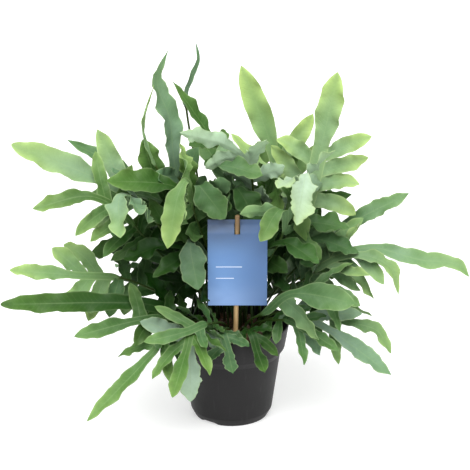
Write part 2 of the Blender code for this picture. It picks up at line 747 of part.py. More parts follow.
def rhizome_line():
    """The rhizome's middle line, from its old end in the middle of the pot to its growing tip."""
    points = []
    for k in range(RHIZOME_LINE_STEPS + 1):
        share = k / RHIZOME_LINE_STEPS
        angle = math.radians(RHIZOME_START + 360 * RHIZOME_TURNS * share**RHIZOME_TURN_POWER)
        radius = RHIZOME_INNER + (RHIZOME_OUTER - RHIZOME_INNER) * share**RHIZOME_SPREAD_POWER
        points.append(Vector((radius * math.cos(angle), radius * math.sin(angle), RHIZOME_MIDDLE)))
    return Path(points)


def sockets(line):
    """The feet of the stipes, staggered along the rhizome, with the direction of the rhizome there."""
    found = []
    step = (line.length - 2 * RHIZOME_RADIUS) / SOCKETS
    for k in range(SOCKETS):
        s = RHIZOME_RADIUS + step * (k + 0.5)
        way = line.heading(s)
        foot = line.at(s) + UP.cross(way) * SOCKET_STAGGER * (1 if k % 2 else -1)
        foot.z = RHIZOME_MIDDLE + RHIZOME_RADIUS - SOCKET_DEPTH + SEAT_GAP
        found.append((foot, way))
    return found


def make_rhizome(line):
    """A finger-thick stem that creeps round on the soil, knobbly where each frond stands in its socket."""
    vertices = []
    for k in range(RHIZOME_SECTIONS + 1):
        s = line.length * k / RHIZOME_SECTIONS
        centre, way = line.at(s), line.heading(s)
        right = way.cross(UP)
        radius = RHIZOME_RADIUS * (1 + RHIZOME_KNOBS * math.sin(k * KNOB_STEP))
        if k in (0, RHIZOME_SECTIONS):
            radius *= RHIZOME_END_SHARE
        for j in range(RHIZOME_SIDES):
            angle = 2 * math.pi * j / RHIZOME_SIDES + math.pi / 2
            point = centre + (right * math.cos(angle) + UP * math.sin(angle)) * radius
            point.z = max(point.z, SOIL_TOP + SEAT_GAP)
            vertices.append(point)
    ring = RHIZOME_SIDES
    faces = [tuple(range(ring)), tuple(reversed(range(len(vertices) - ring, len(vertices))))]
    for k in range(RHIZOME_SECTIONS):
        for j in range(ring):
            a, b = k * ring + j, k * ring + (j + 1) % ring
            faces.append((b, a, a + ring, b + ring))
    return new_object("rhizome", vertices, faces, RHIZOME_COLOUR, 0.9)


def socket_hole(foot, way):
    """(vertices, faces) of the square hole that a stipe stands in."""
    right = way.cross(UP) * SOCKET_HALF
    front = way * SOCKET_HALF
    base = foot - UP * SEAT_GAP
    corners = (right + front, front - right, -right - front, right - front)
    vertices = [base + c for c in corners] + [base + c + UP * RHIZOME_RADIUS * 2 for c in corners]
    faces = [(3, 2, 1, 0), (4, 5, 6, 7)] + [(k, (k + 1) % 4, (k + 1) % 4 + 4, k + 4) for k in range(4)]
    return vertices, faces


def stick_centre(z):
    share = (z - STICK_FOOT.z) / (STICK_TOP.z - STICK_FOOT.z)
    return STICK_FOOT.lerp(STICK_TOP, share)


def card_depth(z):
    """The card's place along Y at a height."""
    bend = 2 * smooth((z - SLOT_LOW) / (SLOT_HIGH - SLOT_LOW)) - 1
    return STICK_FOOT.y + CARD_OFFSET * bend


def card_surface(columns, rows):
    """The card's middle surface: before the stick below its slot, behind it above, bent in between."""
    surface = Surface()
    grid = []
    for z in rows:
        slope = card_depth(z + 0.5) - card_depth(z - 0.5)
        normal = Vector((0, -1, slope)).normalized()
        grid.append([surface.add(Vector((x, card_depth(z), z)), normal, CARD_THICK / 2) for x in columns])
    for low, high, z in zip(grid, grid[1:], rows):
        for j, x in enumerate(columns[:-1]):
            if SLOT_LOW <= z < SLOT_HIGH and abs(x - stick_centre(z).x + SLOT_HALF) < 1.0:
                continue
            surface.lay([low[j : j + 2], high[j : j + 2]])
    return surface


def make_label():
    """The bamboo stick and the card that it is pushed through."""
    body = rod(STICK_FOOT, STICK_TOP, STICK_RADIUS, STICK_SIDES)
    stick = new_object("label_stick", *body, STICK_COLOUR, 0.6)
    slot = stick_centre((SLOT_LOW + SLOT_HIGH) / 2).x
    columns = [CARD_LEFT, slot - SLOT_HALF, slot + SLOT_HALF, CARD_LEFT + CARD_WIDTH]
    rows = [CARD_LOW, *refined([SLOT_LOW, SLOT_HIGH], CARD_BEND_ROWS), CARD_HIGH]
    body = card_surface(columns, rows).thick()
    card = new_object("label_card", *body, CARD_COLOUR, 0.5, rounded=False)
    return stick, card


def mesh_in_mm(obj):
    """(points, faces) of an object's own mesh, in millimetres."""
    points = [v.co / METRE for v in obj.data.vertices]
    return points, [tuple(p.vertices) for p in obj.data.polygons]


def card_views():
    """The spaces before the card that leaves stay out of, so that the card can be seen but for one corner."""
    right = CARD_LEFT + CARD_WIDTH
    return [
        sight_box(CARD_LEFT, right - HIDDEN_WIDTH, CARD_LOW, CARD_HIGH),
        sight_box(CARD_LEFT, right, CARD_LOW, CARD_HIGH - HIDDEN_HEIGHT),
    ]


def sight_box(left, right, low, high):
    """(points, faces) of a box that runs from the card up towards the viewer."""
    corners = []
    for x in (left, right):
        for y in (SIGHT_FAR, SIGHT_NEAR):
            rise = (STICK_FOOT.y - y) * SIGHT_SLOPE
            corners += [Vector((x, y, z + rise)) for z in (low, high)]
    faces = [(0, 1, 3, 2), (4, 6, 7, 5), (0, 4, 5, 1), (2, 3, 7, 6), (0, 2, 6, 4), (1, 5, 7, 3)]
    return corners, faces


def socket_for(frond, free):
    """The free socket that suits the frond: on its own side of the pot, further out the lower it arches."""
    shoulder = Vector(frond.shoulder)
    out = Vector((shoulder.x, shoulder.y, 0)).normalized()
    depth = RHIZOME_OUTER * (1.0 - 0.7 * smooth((shoulder.z - 110) / 130))
    return min(free, key=lambda s: (Vector((s[0].x, s[0].y, 0)) - out * depth).length)


def frond_colour(frond):
    """Leaf green, lighter and yellower on the high young fronds."""
    young = smooth((frond.apex[2] - YOUNG_FROM) / (YOUNG_TO - YOUNG_FROM))
    return OLD_LEAF.lerp(YOUNG_LEAF, young)


def main():
    for obj in list(bpy.data.objects):
        bpy.data.objects.remove(obj)
    line = rhizome_line()
    pot, soil, rhizome = make_pot(), make_soil(), make_rhizome(line)
    stick, card = make_label()
    crowd = Crowd()
    for obj in (pot, soil, rhizome, stick, card):
        crowd.add(*mesh_in_mm(obj))
    for box in card_views():
        crowd.add(*box)
    free = sockets(line)
    holes = []
    for frond in all_fronds():
        foot, way = socket_for(frond, free)
        free.remove((foot, way))
        holes.append(socket_hole(foot, way))
        body = grow(frond, foot, crowd)
        crowd.add(*body)
        new_object(f"frond_{frond.name}", *body, frond_colour(frond), 0.55)
    # The EXACT solver loses the whole rhizome when this many holes are cut out of it.
    cut(rhizome, holes, "MANIFOLD")


main()
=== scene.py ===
"""Looks of a golden polypody fern in its nursery pot: fine fronds, scaly rhizome, soil, pot, stick and card.

Lengths are millimetres until a mesh is made. +Z is up and -Y is the side that is seen first.

The frond list and the way a frond grows repeat the solids' own. Each fine frond is fitted to its
solid: the turn, the lift and the bend of each lobe are those whose tips lie on the solid's corners.
"""

import bisect
import json
import math
import random
from typing import NamedTuple

import bpy
import numpy as np
from mathutils import Matrix, Vector, noise
from mathutils.bvhtree import BVHTree
from mathutils.kdtree import KDTree


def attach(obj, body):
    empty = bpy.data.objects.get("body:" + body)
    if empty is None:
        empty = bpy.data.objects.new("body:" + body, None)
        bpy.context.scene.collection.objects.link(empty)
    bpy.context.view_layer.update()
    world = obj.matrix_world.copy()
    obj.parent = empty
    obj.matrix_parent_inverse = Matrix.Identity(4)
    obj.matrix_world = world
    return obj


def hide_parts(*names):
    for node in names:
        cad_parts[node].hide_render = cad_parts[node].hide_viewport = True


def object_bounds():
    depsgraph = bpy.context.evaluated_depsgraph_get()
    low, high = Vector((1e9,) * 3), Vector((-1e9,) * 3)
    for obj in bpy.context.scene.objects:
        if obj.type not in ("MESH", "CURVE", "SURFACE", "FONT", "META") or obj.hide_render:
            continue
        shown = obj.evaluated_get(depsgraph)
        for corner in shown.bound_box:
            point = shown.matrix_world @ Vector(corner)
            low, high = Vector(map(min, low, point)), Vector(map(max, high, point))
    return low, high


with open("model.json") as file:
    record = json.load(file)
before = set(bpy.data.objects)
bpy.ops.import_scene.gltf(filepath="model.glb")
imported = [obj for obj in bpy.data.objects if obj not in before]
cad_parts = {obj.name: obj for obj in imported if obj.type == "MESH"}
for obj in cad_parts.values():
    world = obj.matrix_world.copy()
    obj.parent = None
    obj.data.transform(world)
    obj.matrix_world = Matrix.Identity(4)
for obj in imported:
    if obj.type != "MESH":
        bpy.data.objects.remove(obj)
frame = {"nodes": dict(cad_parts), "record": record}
cad_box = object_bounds()

METRE = 0.001
BOX_LOW, BOX_HIGH = (tuple(v / METRE for v in corner) for corner in cad_box)
UP = Vector((0, 0, 1))
VIEWER = Vector((0, -1, 0.25)).normalized()

# Camera: the photograph's view, from slightly above
AIM = Vector((3.8, 0, 196)) * METRE
CAMERA_DISTANCE = 1.6
CAMERA_PITCH = math.radians(19)
SEEN_HALF_WIDTH = 0.239
SENSOR = 36.0

# Light. The floor glows a little, so that the shadow on it stays faint
SURROUND = 0.24
SUNS = (
    ("sun_key", (-0.2, -0.85, 1.5), 4.1, 52),
    ("sun_front", (0.6, -1.5, 0.9), 0.6, 60),
    ("sun_back", (0.3, 1.0, 1.2), 1.4, 50),
)
FLOOR_FAR = 60.0
FLOOR_PALE = (0.62, 0.62, 0.62, 1)
FLOOR_GLOW = 0.5
WHITE = (1, 1, 1, 1)

# Pot
POT_HEIGHT = 101.0
POT_OUTSIDE = ((38.5, 0.0), (42.6, 8.0), (51.0, 69.0), (55.6, 76.0), (60.0, POT_HEIGHT))
POT_INSIDE = ((32.0, 1.6), (36.4, 3.8), (41.0, 9.0), (49.5, 69.6), (54.1, 76.6), (58.5, POT_HEIGHT))
POT_FLAT_RADIUS = 33.0
POT_SECTORS = 144
FOOT_GAP_HEIGHT = 2.2
FOOT_GAP_MIDDLE = 234.0
FOOT_GAP_HALF = 6.0
FOOT_GAP_RAMP = 12.0
FEET = 3
LIP_ROUND = 0.7

# Soil and rhizome
SOIL_EDGE = 83.5
SOIL_TOP = 86.0
SOIL_SLOPE_WIDTH = 8.0
SEAT_GAP = 0.3
RHIZOME_RADIUS = 5.5
RHIZOME_MIDDLE = SOIL_TOP + SEAT_GAP + 0.85 * RHIZOME_RADIUS
RHIZOME_START = 200
RHIZOME_TURNS = 2.0
RHIZOME_INNER = 7.0
RHIZOME_OUTER = 43.0
RHIZOME_TURN_POWER = 0.7
RHIZOME_SPREAD_POWER = 0.8
RHIZOME_LINE_STEPS = 200
KNOB_HEIGHT = 0.08
KNOB_SPREAD = 6
KNOB_SCALE = 0.25
KNOB_LESS = 0.04
SOCKETS = 60
SOCKET_DEPTH = 5.0
SOCKET_STAGGER = 1.6
ABOVE_SOCKET = 6.5
RHIZOME_SECTIONS = 260
RHIZOME_SIDES = 20
SCALES = 2600
SCALE_ARC = (-15, 195)
SCALE_SEAT = 0.93
SCALE_ASIDE, SCALE_OFF = (-0.7, 0.7), (0.15, 0.6)
SCALE_LENGTHS, SCALE_WIDTHS = (2.2, 4.6), (0.3, 0.65)
BASE_SCALES = 14
BASE_RADIUS = 2.0
BASE_LENGTHS, BASE_LEANS, BASE_WIDTHS = (2.0, 3.6), (0.1, 0.7), (0.35, 0.6)
BLADE_FACES = ((0, 1, 4), (1, 3, 4), (3, 2, 4), (2, 0, 4), (1, 0, 2), (3, 1, 2))
SOIL_RINGS = 40
SOIL_SECTORS = 96
CLODS = ((0.16, 1.1), (0.55, 0.5))
CLOD_TOP = 0.25
CRUMBS = 520
CRUMB_REACH = 52.0
CRUMB_RISE = 0.1
CRUMB_SIZES = (0.5, 1.7)
CRUMB_FACES = (
    (0, 2, 4), (2, 1, 4), (1, 3, 4), (3, 0, 4), (2, 0, 5), (1, 2, 5), (3, 1, 5), (0, 3, 5),
)

# Label and its stick
STICK_RADIUS = 2.4
STICK_FOOT = Vector((3.8, -42.0, 46.0))
STICK_TOP = Vector((6.2, -42.0, 231.0))
STICK_SIDES = 24
STICK_PARTS = 30
STICK_DENTS = 0.05
CARD_WIDTH = 59.0
CARD_LEFT = -23.2
CARD_LOW = 137.0
CARD_HIGH = 225.5
CARD_THICK = 0.6
SLOT_LOW = 212.0
SLOT_HIGH = 221.5
SLOT_HALF = 2.9
CARD_OFFSET = STICK_RADIUS + SEAT_GAP + CARD_THICK / 2
CARD_COLUMNS = (8, 4, 10)
CARD_ROWS = (24, 16, 3)

# Frond, as in the solids
STIPE_HALF = 1.15
WING_HALF = 4.2
EDGE_HALF = 0.34
FULL_ROWS = (4, (0.17, 0.36, 0.56, 0.76, 0.93), (0.26, 0.57, 0.87))
FEWER_ROWS = (3, (0.2, 0.45, 0.7, 0.92), (0.36, 0.8))
LOBE_SHARE = 0.8
LOBE_ROOT_SHARE = 0.8
LOBE_SHORTER = 0.2
LOBE_LENGTHS = (0.8, 1.2)
LOBE_CLOSER = 12
LOBE_ANGLES = (-14, 14)
LOBE_SAGS = (0.0, 0.8)
LOBE_HOOKS = (-0.3, 0.6)
LOBE_TWISTS = (-60, 60)
LEAST_PITCH = 6.5
PITCH_SHARE = 0.5
WING_START_PITCHES = 1.6
RUFFLE = 0.2
RUFFLE_WAVES = 3.0
RUFFLE_SHIFT = 0.8
RUFFLE_FADE = 5
SIDE_RISE = 0.16
MARGIN_POWER = 1.5
WIDEST_AT = 0.4
TAPER_POWER = 0.5
FACING_STEP = 6.0
SPINE_STEPS = 24
BLUNT = 2.8
SHOULDER_LIFT = 0.4
TURNS = range(-30, 31, 3)
LIFTS = range(-20, 26, 5)
FLEXES = (0.0, 0.25, -0.25, 0.5, -0.5, 0.8, -0.8, 1.2, -1.2, 1.7, -1.7)
SWINGS = (0.0, 14.0, -14.0)
SHARES = (1.0, 0.8, 0.62, 0.46)
MATCH = 0.05

# Fronds of a ring, as shares of their reach, in degrees and in millimetres
RING_STRAY = 5
RING_REACH = (0.88, 1.1)
RING_SHOULDER = 0.38
RING_NECK = 0.64
RING_LOW_CREST = 130
RING_ARCH = 24
RING_SHOULDER_RISE = 52
RING_LOBE_LENGTH = 3.5

# Frond, finer than the solids
PARTS = 5
COLUMNS = 2 * PARTS + 1
TIP_ROWS = 6
TIP_SHARP = 0.4
FINE_EDGE = 0.15
FINE_BLADE = 0.24
FINE_RIB = 0.55
RIB_WIDTH = 0.9
THIN_MARGIN = 1.5
LEAST_ROUND = 0.04
TIP_HALF = 0.1
MARGIN_WAVES = ((31.0, 0.09), (12.5, 0.045))
TEETH_LENGTH = 5.2
TEETH = 0.2
CREASE = 0.18
RUFFLE_LENGTHS = ((24.0, 1.0), (9.5, 0.35))
WAVE_SHIFT, RUFFLE_LAG = 1.3, 0.9
FADE_IN, FADE_OUT = 4, 6
RUFFLE_SHARE = 0.2
MOST_RUFFLE = 2.0

# Lobes that only the fine fronds have, lower on the rachis
MORE_ROWS = (-2, -3, -4, -5)
MORE_MARKS = (0.14, 0.36, 0.62, 0.87)
MORE_LENGTH = 0.85
MORE_REACH = 2.2
MORE_SHORTER = 0.06
MORE_CLEARANCE = 1.1
MORE_FROM = 0.42
LEAST_WIDTH = 10.0
MORE_FLEXES = (0.0, 0.35, -0.35, 0.8, -0.8, 1.4, -1.4)
MORE_SHARES = (1.0, 0.75, 0.55)

# The card is seen from slightly above, but for its upper right corner
SIGHT_SLOPE = 0.34
SIGHT_NEAR = STICK_FOOT.y - 6.0
SIGHT_FAR = -150.0
HIDDEN_WIDTH = 14.0
HIDDEN_HEIGHT = 26.0


# Tones of what isn't in the table, and how the tone of a lobe strays from its frond's
DRAWN_TONES = ((0.0, 0.35), (0.05, 0.6), (0.35, 0.8))
INNER_FRILL, INNER_JAG = 1.5, 1.2
LOWER_YOUTH, LOWER_DARK = 0.3, 0.2
LOBE_STRAY = 0.12


class Tone(NamedTuple):
    """A frond's colour and margin: youth towards lime, bloom towards grey-blue, dark, ruffles and waves."""

    youth: float
    bloom: float
    dark: float
    frill: float = 1.0
    jag: float = 1.0


class Frond(NamedTuple):
    """One frond by where its rachis passes: its shoulder, the neck where the end lobe starts, and its apex.

    rows holds how finely it is cut: rows of the stipe, and marks along the end lobe and along each lobe.
    wing is half the width of the blade between the lobes, and spacing sets them apart by the width. Only the
    fine frond's end lobe is sharp and its lobes broad, and only a bare one has no lower lobes.
    """

    name: str
    shoulder: tuple
    neck: tuple
    apex: tuple
    pairs: int
    reach: float
    width: float
    sweep: float = 50.0
    face: float = 0.5
    via: tuple = ()
    blunt: float = BLUNT
    rows: tuple = FULL_ROWS
    wing: float = WING_HALF
    spacing: float = PITCH_SHARE
    sharp: float = TIP_SHARP
    broad: float = 1.0
    bare: bool = False
    tone: Tone = None


# Fronds: name, shoulder, neck, apex, pairs of lobes, reach, width, sweep, face, and the tone, if not drawn.
# First those that give the outline, then those that close the heart to both sides of the card.
FRONDS = """
low_hang  -60 -46 116  -78 -69 96  -143 -100 35  1 42 15 40 0.5  0.3 0.2 0.4 0.8 0.8
left_low  -56 -34 124  -92 -50 141  -226 -78 151  2 48 21 44 0.65  0.1 0.05 1.3 0.7 0.6
left_high  -66 2 204  -122 -14 254  -215 -30 300  1 52 25 50 0.7  0.6 0.8 0.05 0.7 0.5
right_far  80 4 156  136 -12 186  240 -28 161  3 56 18 52 0.6  0.3 0.65 0.05 0.9 0.8
right_low  66 -34 120  98 -48 112  161 -66 70  2 50 19 35 0.5  0.05 1 0.1 0.9 1.2
front_small  -8 -60 113  -3 -70 98  2 -73 74  1 24 13 55 0.6  0 0.5 0.5 1.2 2
front_right  20 -60 113  26 -69 97  34 -71 74  1 26 13 45 0.6  0.1 0 1 1 1.3
blue_hang  -38 -64 116  -40 -78 104  -41 -80 47  1 44 22 120 0.6  0.1 1.25 0 1.4 1.5
near_hang  -48 -64 120  -58 -84 102  -73 -90 56  1 46 15 40 0.6  0.3 0.1 0.55 0.9 1
near_side  -28 -66 126  -48 -80 124  -90 -92 119  1 35 13 60 0.7  0.2 0.35 0.35 0.9 1
left_near  -58 -58 118  -90 -76 108  -146 -94 97  1 38 16 65 0.7  0.15 0.3 0.6 1 1
right_drop  52 -52 124  74 -68 120  106 -82 104  1 34 13 45 0.5  0.1 0.4 0.5 1 1
broad_front  32 -58 136  54 -78 160  111 -100 156  1 46 26 60 0.8  0.15 0.5 0.45 0.6 0.4
right_thumb  72 -36 148  98 -50 156  128 -62 143  1 40 14 45 0.6  0.2 0.5 0.35 1.1 1
right_curl  80 -12 122  114 -28 113  162 -44 84  1 42 14 50 0.5  0.35 0.5 0.35 1.3 1
right_wave  80 -6 156  120 -16 182  170 -30 146  2 42 14 50 0.5  0.55 0.6 0.15 1.3 1.3
left_fork  -98 -14 150  -160 -28 163  -222 -38 172  2 48 16 56 0.6  0.6 0.45 0.1 1.1 1.1
left_mid  -84 -24 198  -133 -38 248  -194 -52 241  2 56 17 55 0.6  0.35 0.3 0.7 1 1
left_upper  -62 30 216  -98 32 248  -167 30 288  0 0 16 45 0.6  0.05 0.6 0.4 0.7 1
right_rise  72 22 158  110 26 192  182 24 233  2 52 18 45 0.6  0.15 0.6 0.25 1.3 1.2
left_broad  -34 -8 216  -54 -18 252  -122 -40 266  2 46 26 60 0.6  0.15 0.05 0.8 0.8 0.6
bright_left  -38 -24 232  -46 -46 266  -62 -70 206  1 44 22 60 0.6  0.7 0.3 0.25 1.3 1
fold_left  -78 -8 220  -112 -28 258  -118 -64 226  0 0 22 50 0.3  0.4 0.8 0 1.5 1
pale_left  -28 -14 184  -42 -36 212  -36 -66 172  1 40 26 50 0.3  0.05 0.9 0.3 1.3 1.2
heart_left  -14 -8 216  -34 -22 256  -8 -44 228  1 38 27 50 0.3  0.1 0.5 0.5 1.2 1.5
card_leaf  52 -36 212  48 -52 240  28 -72 214  1 42 18 60 0.4  0.4 0.3 0.3 1.3 1
card_drop  36 -8 222  42 -28 256  56 -58 200  1 44 22 50 0.5  0.3 0.15 0.55 1.2 1
pale_fold  64 4 230  74 -26 264  67 -64 224  1 46 24 45 0.3  0.5 1.3 0 1.3 2
blue_cross  22 4 246  4 -8 288  -50 -30 312  1 46 19 50 -0.6  0.3 1.5 0 1.2 2.2
top_right  70 26 200  92 36 281  107 36 357  4 52 26 62 0.85  0.85 0.7 0 0.8 0.6
top_mid  48 50 216  44 66 262  10 74 355  2 66 25 36 0.8  0.9 0.5 0 0.6 0.3
top_left  -44 8 226  -57 6 270  -60 0 391  0 0 24 35 0.6  0.1 0.8 0.15 1.3 0.9
thread  -58 2 240  -79 0 278  -76 0 354  0 0 7 50 0.4  0.6 0.5 0 1 1
dark_left  0 36 244  -22 44 288  -60 45 346  0 0 18 45 0.2  0.15 0.15 0.7 0.8 0.4
left_rise  -48 10 200  -72 -2 246  -88 -4 298  1 44 24 50 0.7  0.2 0.15 0.7 1 0.8
behind_card  16 -6 206  4 -14 250  28 -30 214  1 36 27 50 0.3  0.1 0.4 0.65 1.2 1
crown_fold  0 4 250  -14 -8 286  30 -28 282  1 42 23 50 0.3  0.15 0.55 0.4 1.3 1
wisp  -36 48 250  -47 60 322  -36 60 383  0 0 6 50 0.1  0 0.9 0.4 1 1
inner_left_1  -24 -22 176  -58 -38 208  -104 -52 196  1 50 22 50 0.4  0.05 0.15 1 1.5 1.3
inner_left_2  -30 -8 150  -84 -14 186  -142 -20 178  1 50 24 50 0.4  0.1 0.1 1 1.5 1.3
inner_left_3  -36 4 178  -86 0 220  -148 -8 222  1 50 22 50 0.4  0.15 0.2 0.9 1.5 1.3
inner_left_4  -28 -14 136  -62 -26 146  -112 -40 142  1 50 17 50 0.4  0.05 0.1 1.1 1.5 1.3
inner_right_1  28 -18 170  58 -34 204  98 -48 190  1 50 21 50 0.4  0.05 0.2 0.6 1.5 1.3
inner_right_2  32 -6 180  72 -12 222  118 -18 220  1 50 23 50 0.4  0.1 0.3 0.5 1.5 1.3
inner_right_3  44 -8 156  80 -16 196  128 -26 186  1 50 21 50 0.4
"""
SPECIAL = {
    "left_low": dict(wing=7.0, sharp=0.05, bare=True),
    "left_high": dict(sharp=0.15, bare=True),
    "right_far": dict(via=((192, -22, 177), (226, -26, 174))),
    "right_low": dict(sharp=0.6),
    "front_small": dict(sharp=2.0),
    "front_right": dict(sharp=2.0),
    "right_curl": dict(via=((147, -38, 107),)),
    "right_wave": dict(via=((159, -24, 175),), sharp=0.7),
    "left_fork": dict(broad=1.35),
    "left_upper": dict(blunt=1.6),
    "left_broad": dict(broad=1.1),
    "top_right": dict(wing=8.0, spacing=0.31, broad=1.35),
    "top_mid": dict(wing=6.0, spacing=0.4, broad=1.15, bare=True),
    "top_left": dict(via=((-61, 4, 318), (-73, 0, 356)), blunt=1.0, wing=7.0, sharp=1.0),
    "thread": dict(via=((-88, 0, 313),), blunt=1.2),
    "dark_left": dict(blunt=1.3, sharp=0.7),
    "wisp": dict(via=((-42, 60, 344), (-34, 60, 364)), blunt=1.2),
}


def listed_fronds():
    """The fronds of the table."""
    fronds = []
    for line in FRONDS.strip().splitlines():
        name, *cells = line.split()
        values = [float(cell) for cell in cells]
        knots = [tuple(values[k : k + 3]) for k in (0, 3, 6)]
        pairs, *sizes = values[9:14]
        tone = Tone(*values[14:]) if values[14:] else None
        fronds.append(Frond(name, *knots, int(pairs), *sizes, tone=tone, **SPECIAL.get(name, {})))
    return fronds


# Rings that close the back, the crown and the sides: name, fronds, first and last angle, lowest and highest
# apex, reach, pairs of lobes, width and seed
RINGS = (
    ("middle", 2, 50, 130, 170, 215, 95, 2, 25, 14),
    ("flank_right", 1, 5, 40, 170, 220, 120, 3, 21, 17),
    ("flank_left", 1, 130, 165, 160, 225, 120, 3, 21, 16),
    ("back_high", 3, 30, 150, 200, 260, 160, 3, 23, 11),
    ("back_low", 3, 20, 160, 100, 150, 170, 3, 23, 12),
)


def ring_of_fronds(name, count, first, last, low, high, reach, pairs, width, seed):
    """Fronds that arch outwards in an even ring."""
    draw = random.Random(seed)
    fronds = []
    for i in range(count):
        stray = draw.uniform(-RING_STRAY, RING_STRAY)
        angle = math.radians(first + (last - first) * (i + 0.5) / count + stray)
        out = Vector((math.cos(angle), math.sin(angle), 0))
        far = reach * draw.uniform(*RING_REACH)
        top = low + (high - low) * draw.random()
        crest = max(top, RING_LOW_CREST) + RING_ARCH * draw.random()
        shoulder = out * far * RING_SHOULDER + UP * (RING_SHOULDER_RISE + 0.5 * crest)
        neck = out * far * RING_NECK + UP * crest
        apex = out * far + UP * top
        wide = width * draw.uniform(*RING_REACH)
        spot = (f"{name}_{i + 1}", shoulder, neck, apex, pairs, RING_LOBE_LENGTH * wide, wide)
        fronds.append(Frond(*spot, face=0.0, rows=FEWER_ROWS))
    return fronds


def tone_of(frond):
    """The frond's tone, or one drawn from a seed of its name."""
    if frond.tone:
        return frond.tone
    draw = random.Random(frond.name + " tone")
    return Tone(*(draw.uniform(*span) for span in DRAWN_TONES), INNER_FRILL, INNER_JAG)


class Path:
    """A polyline with positions by arc length."""

    def __init__(self, points):
        self.points = points
        self.marks = [0.0]
        for a, b in zip(points, points[1:]):
            self.marks.append(self.marks[-1] + (b - a).length)
        self.length = self.marks[-1]

    def at(self, s):
        s = min(max(s, 0.0), self.length)
        k = bisect.bisect_left(self.marks, s, 1, len(self.marks) - 1) - 1
        share = (s - self.marks[k]) / max(self.marks[k + 1] - self.marks[k], 1e-9)
        return self.points[k].lerp(self.points[k + 1], share)

    def heading(self, s, step=3.0):
        return (self.at(min(s + step, self.length)) - self.at(max(s - step, 0.0))).normalized()


def hermite(a, b, start, end, u):
    """The point at share u of a cubic from a to b that leaves along start and arrives along end."""
    return (
        a * (2 * u**3 - 3 * u**2 + 1)
        + start * (u**3 - 2 * u**2 + u)
        + b * (-2 * u**3 + 3 * u**2)
        + end * (u**3 - u**2)
    )


def smooth_path(foot, knots, steps=14):
    """A smooth curve through the knots that starts with a straight upright piece from the foot."""
    headings = [UP]
    headings += [(c - a).normalized() for a, c in zip(knots, knots[2:])]
    headings.append((knots[-1] - knots[-2]).normalized())
    points = [foot, knots[0]]
    for a, b, start, end in zip(knots, knots[1:], headings, headings[1:]):
        chord = (b - a).length
        points += [hermite(a, b, start * chord, end * chord, (k + 1) / steps) for k in range(steps)]
    return Path(points)


def smooth(x):
    x = min(max(x, 0.0), 1.0)
    return x * x * (3 - 2 * x)


def strap(t, root, full, blunt=BLUNT, sharp=TIP_SHARP):
    """Half the width of a strap-shaped lobe at share t of its length; a low blunt gives a pointed end.

    sharp draws its end in further than the solid's, most at the very tip.
    """
    body = root + (full - root) * smooth(t / WIDEST_AT)
    end = max(0.0, (t - WIDEST_AT) / (1 - WIDEST_AT))
    return body * max(0.0, 1 - end**blunt) ** (TAPER_POWER + sharp * end * end)


def refined(marks, parts):
    """The marks with each step between them cut into equal parts."""
    out = [marks[0]]
    for a, b in zip(marks, marks[1:]):
        out += [a + (b - a) * (k + 1) / parts for k in range(parts)]
    return out


def tip_marks(last):
    """Shares of a length from its last mark to near its tip, ever closer, so that the tip is round."""
    return [1 - (1 - last) * (1 - k / TIP_ROWS) ** 2 for k in range(1, TIP_ROWS)]


class Surface:
    """The middle surface of a thin body: points with a normal and half a thickness, and triangles.

    Each corner of a triangle also has a spot: where it lies on its leaf, for the leaf's colours.
    """

    def __init__(self):
        self.points = []
        self.normals = []
        self.halves = []
        self.spots = []
        self.triangles = []
        self.corners = []

    def add(self, point, normal, half):
        self.points.append(point)
        self.normals.append(normal)
        self.halves.append(half)
        return len(self.points) - 1

    def spot(self, *values):
        self.spots.append(values)
        return len(self.spots) - 1

    def lay(self, rows, spots):
        """Triangles over rows of vertex numbers, with their spots; a row of one vertex is a tip."""
        for low, high, below, above in zip(rows, rows[1:], spots, spots[1:]):
            for j in range(len(low) - 1):
                for found, a, b in ((self.triangles, low, high), (self.corners, below, above)):
                    found.append((a[j], a[j + 1], b[j + 1 if len(b) > 1 else 0]))
                    if len(b) > 1:
                        found.append((a[j], b[j + 1], b[j]))

    def rim(self):
        """The edges of one triangle only, with their spots."""
        edges = {}
        for t, c in zip(self.triangles, self.corners):
            for k in range(3):
                edges[t[k], t[(k + 1) % 3]] = (c[k], c[(k + 1) % 3])
        return [(a, b, *edges[a, b]) for a, b in edges if (b, a) not in edges]

    def thick(self):
        """(vertices, triangles, spots of their corners, undersides) of the closed body."""
        count = len(self.points)
        points = np.array([tuple(p) for p in self.points])
        rises = np.array([tuple(n) for n in self.normals]) * np.array(self.halves)[:, None]
        vertices = np.concatenate([points + rises, points - rises])
        upper, spots = np.array(self.triangles), np.array(self.corners)
        a, b, at_a, at_b = np.array(self.rim()).T
        sides = [np.stack(side, 1) for side in ((b, a, a + count), (b, a + count, b + count))]
        side_spots = [np.stack(side, 1) for side in ((at_b, at_a, at_a), (at_b, at_a, at_b))]
        faces = [upper, upper[:, ::-1] + count, *sides]
        corners = [spots, spots[:, ::-1], *side_spots]
        under = np.repeat([0.0, 1.0, 0.0], [len(upper), len(upper), 2 * len(a)])
        return vertices, np.concatenate(faces), np.concatenate(corners), under


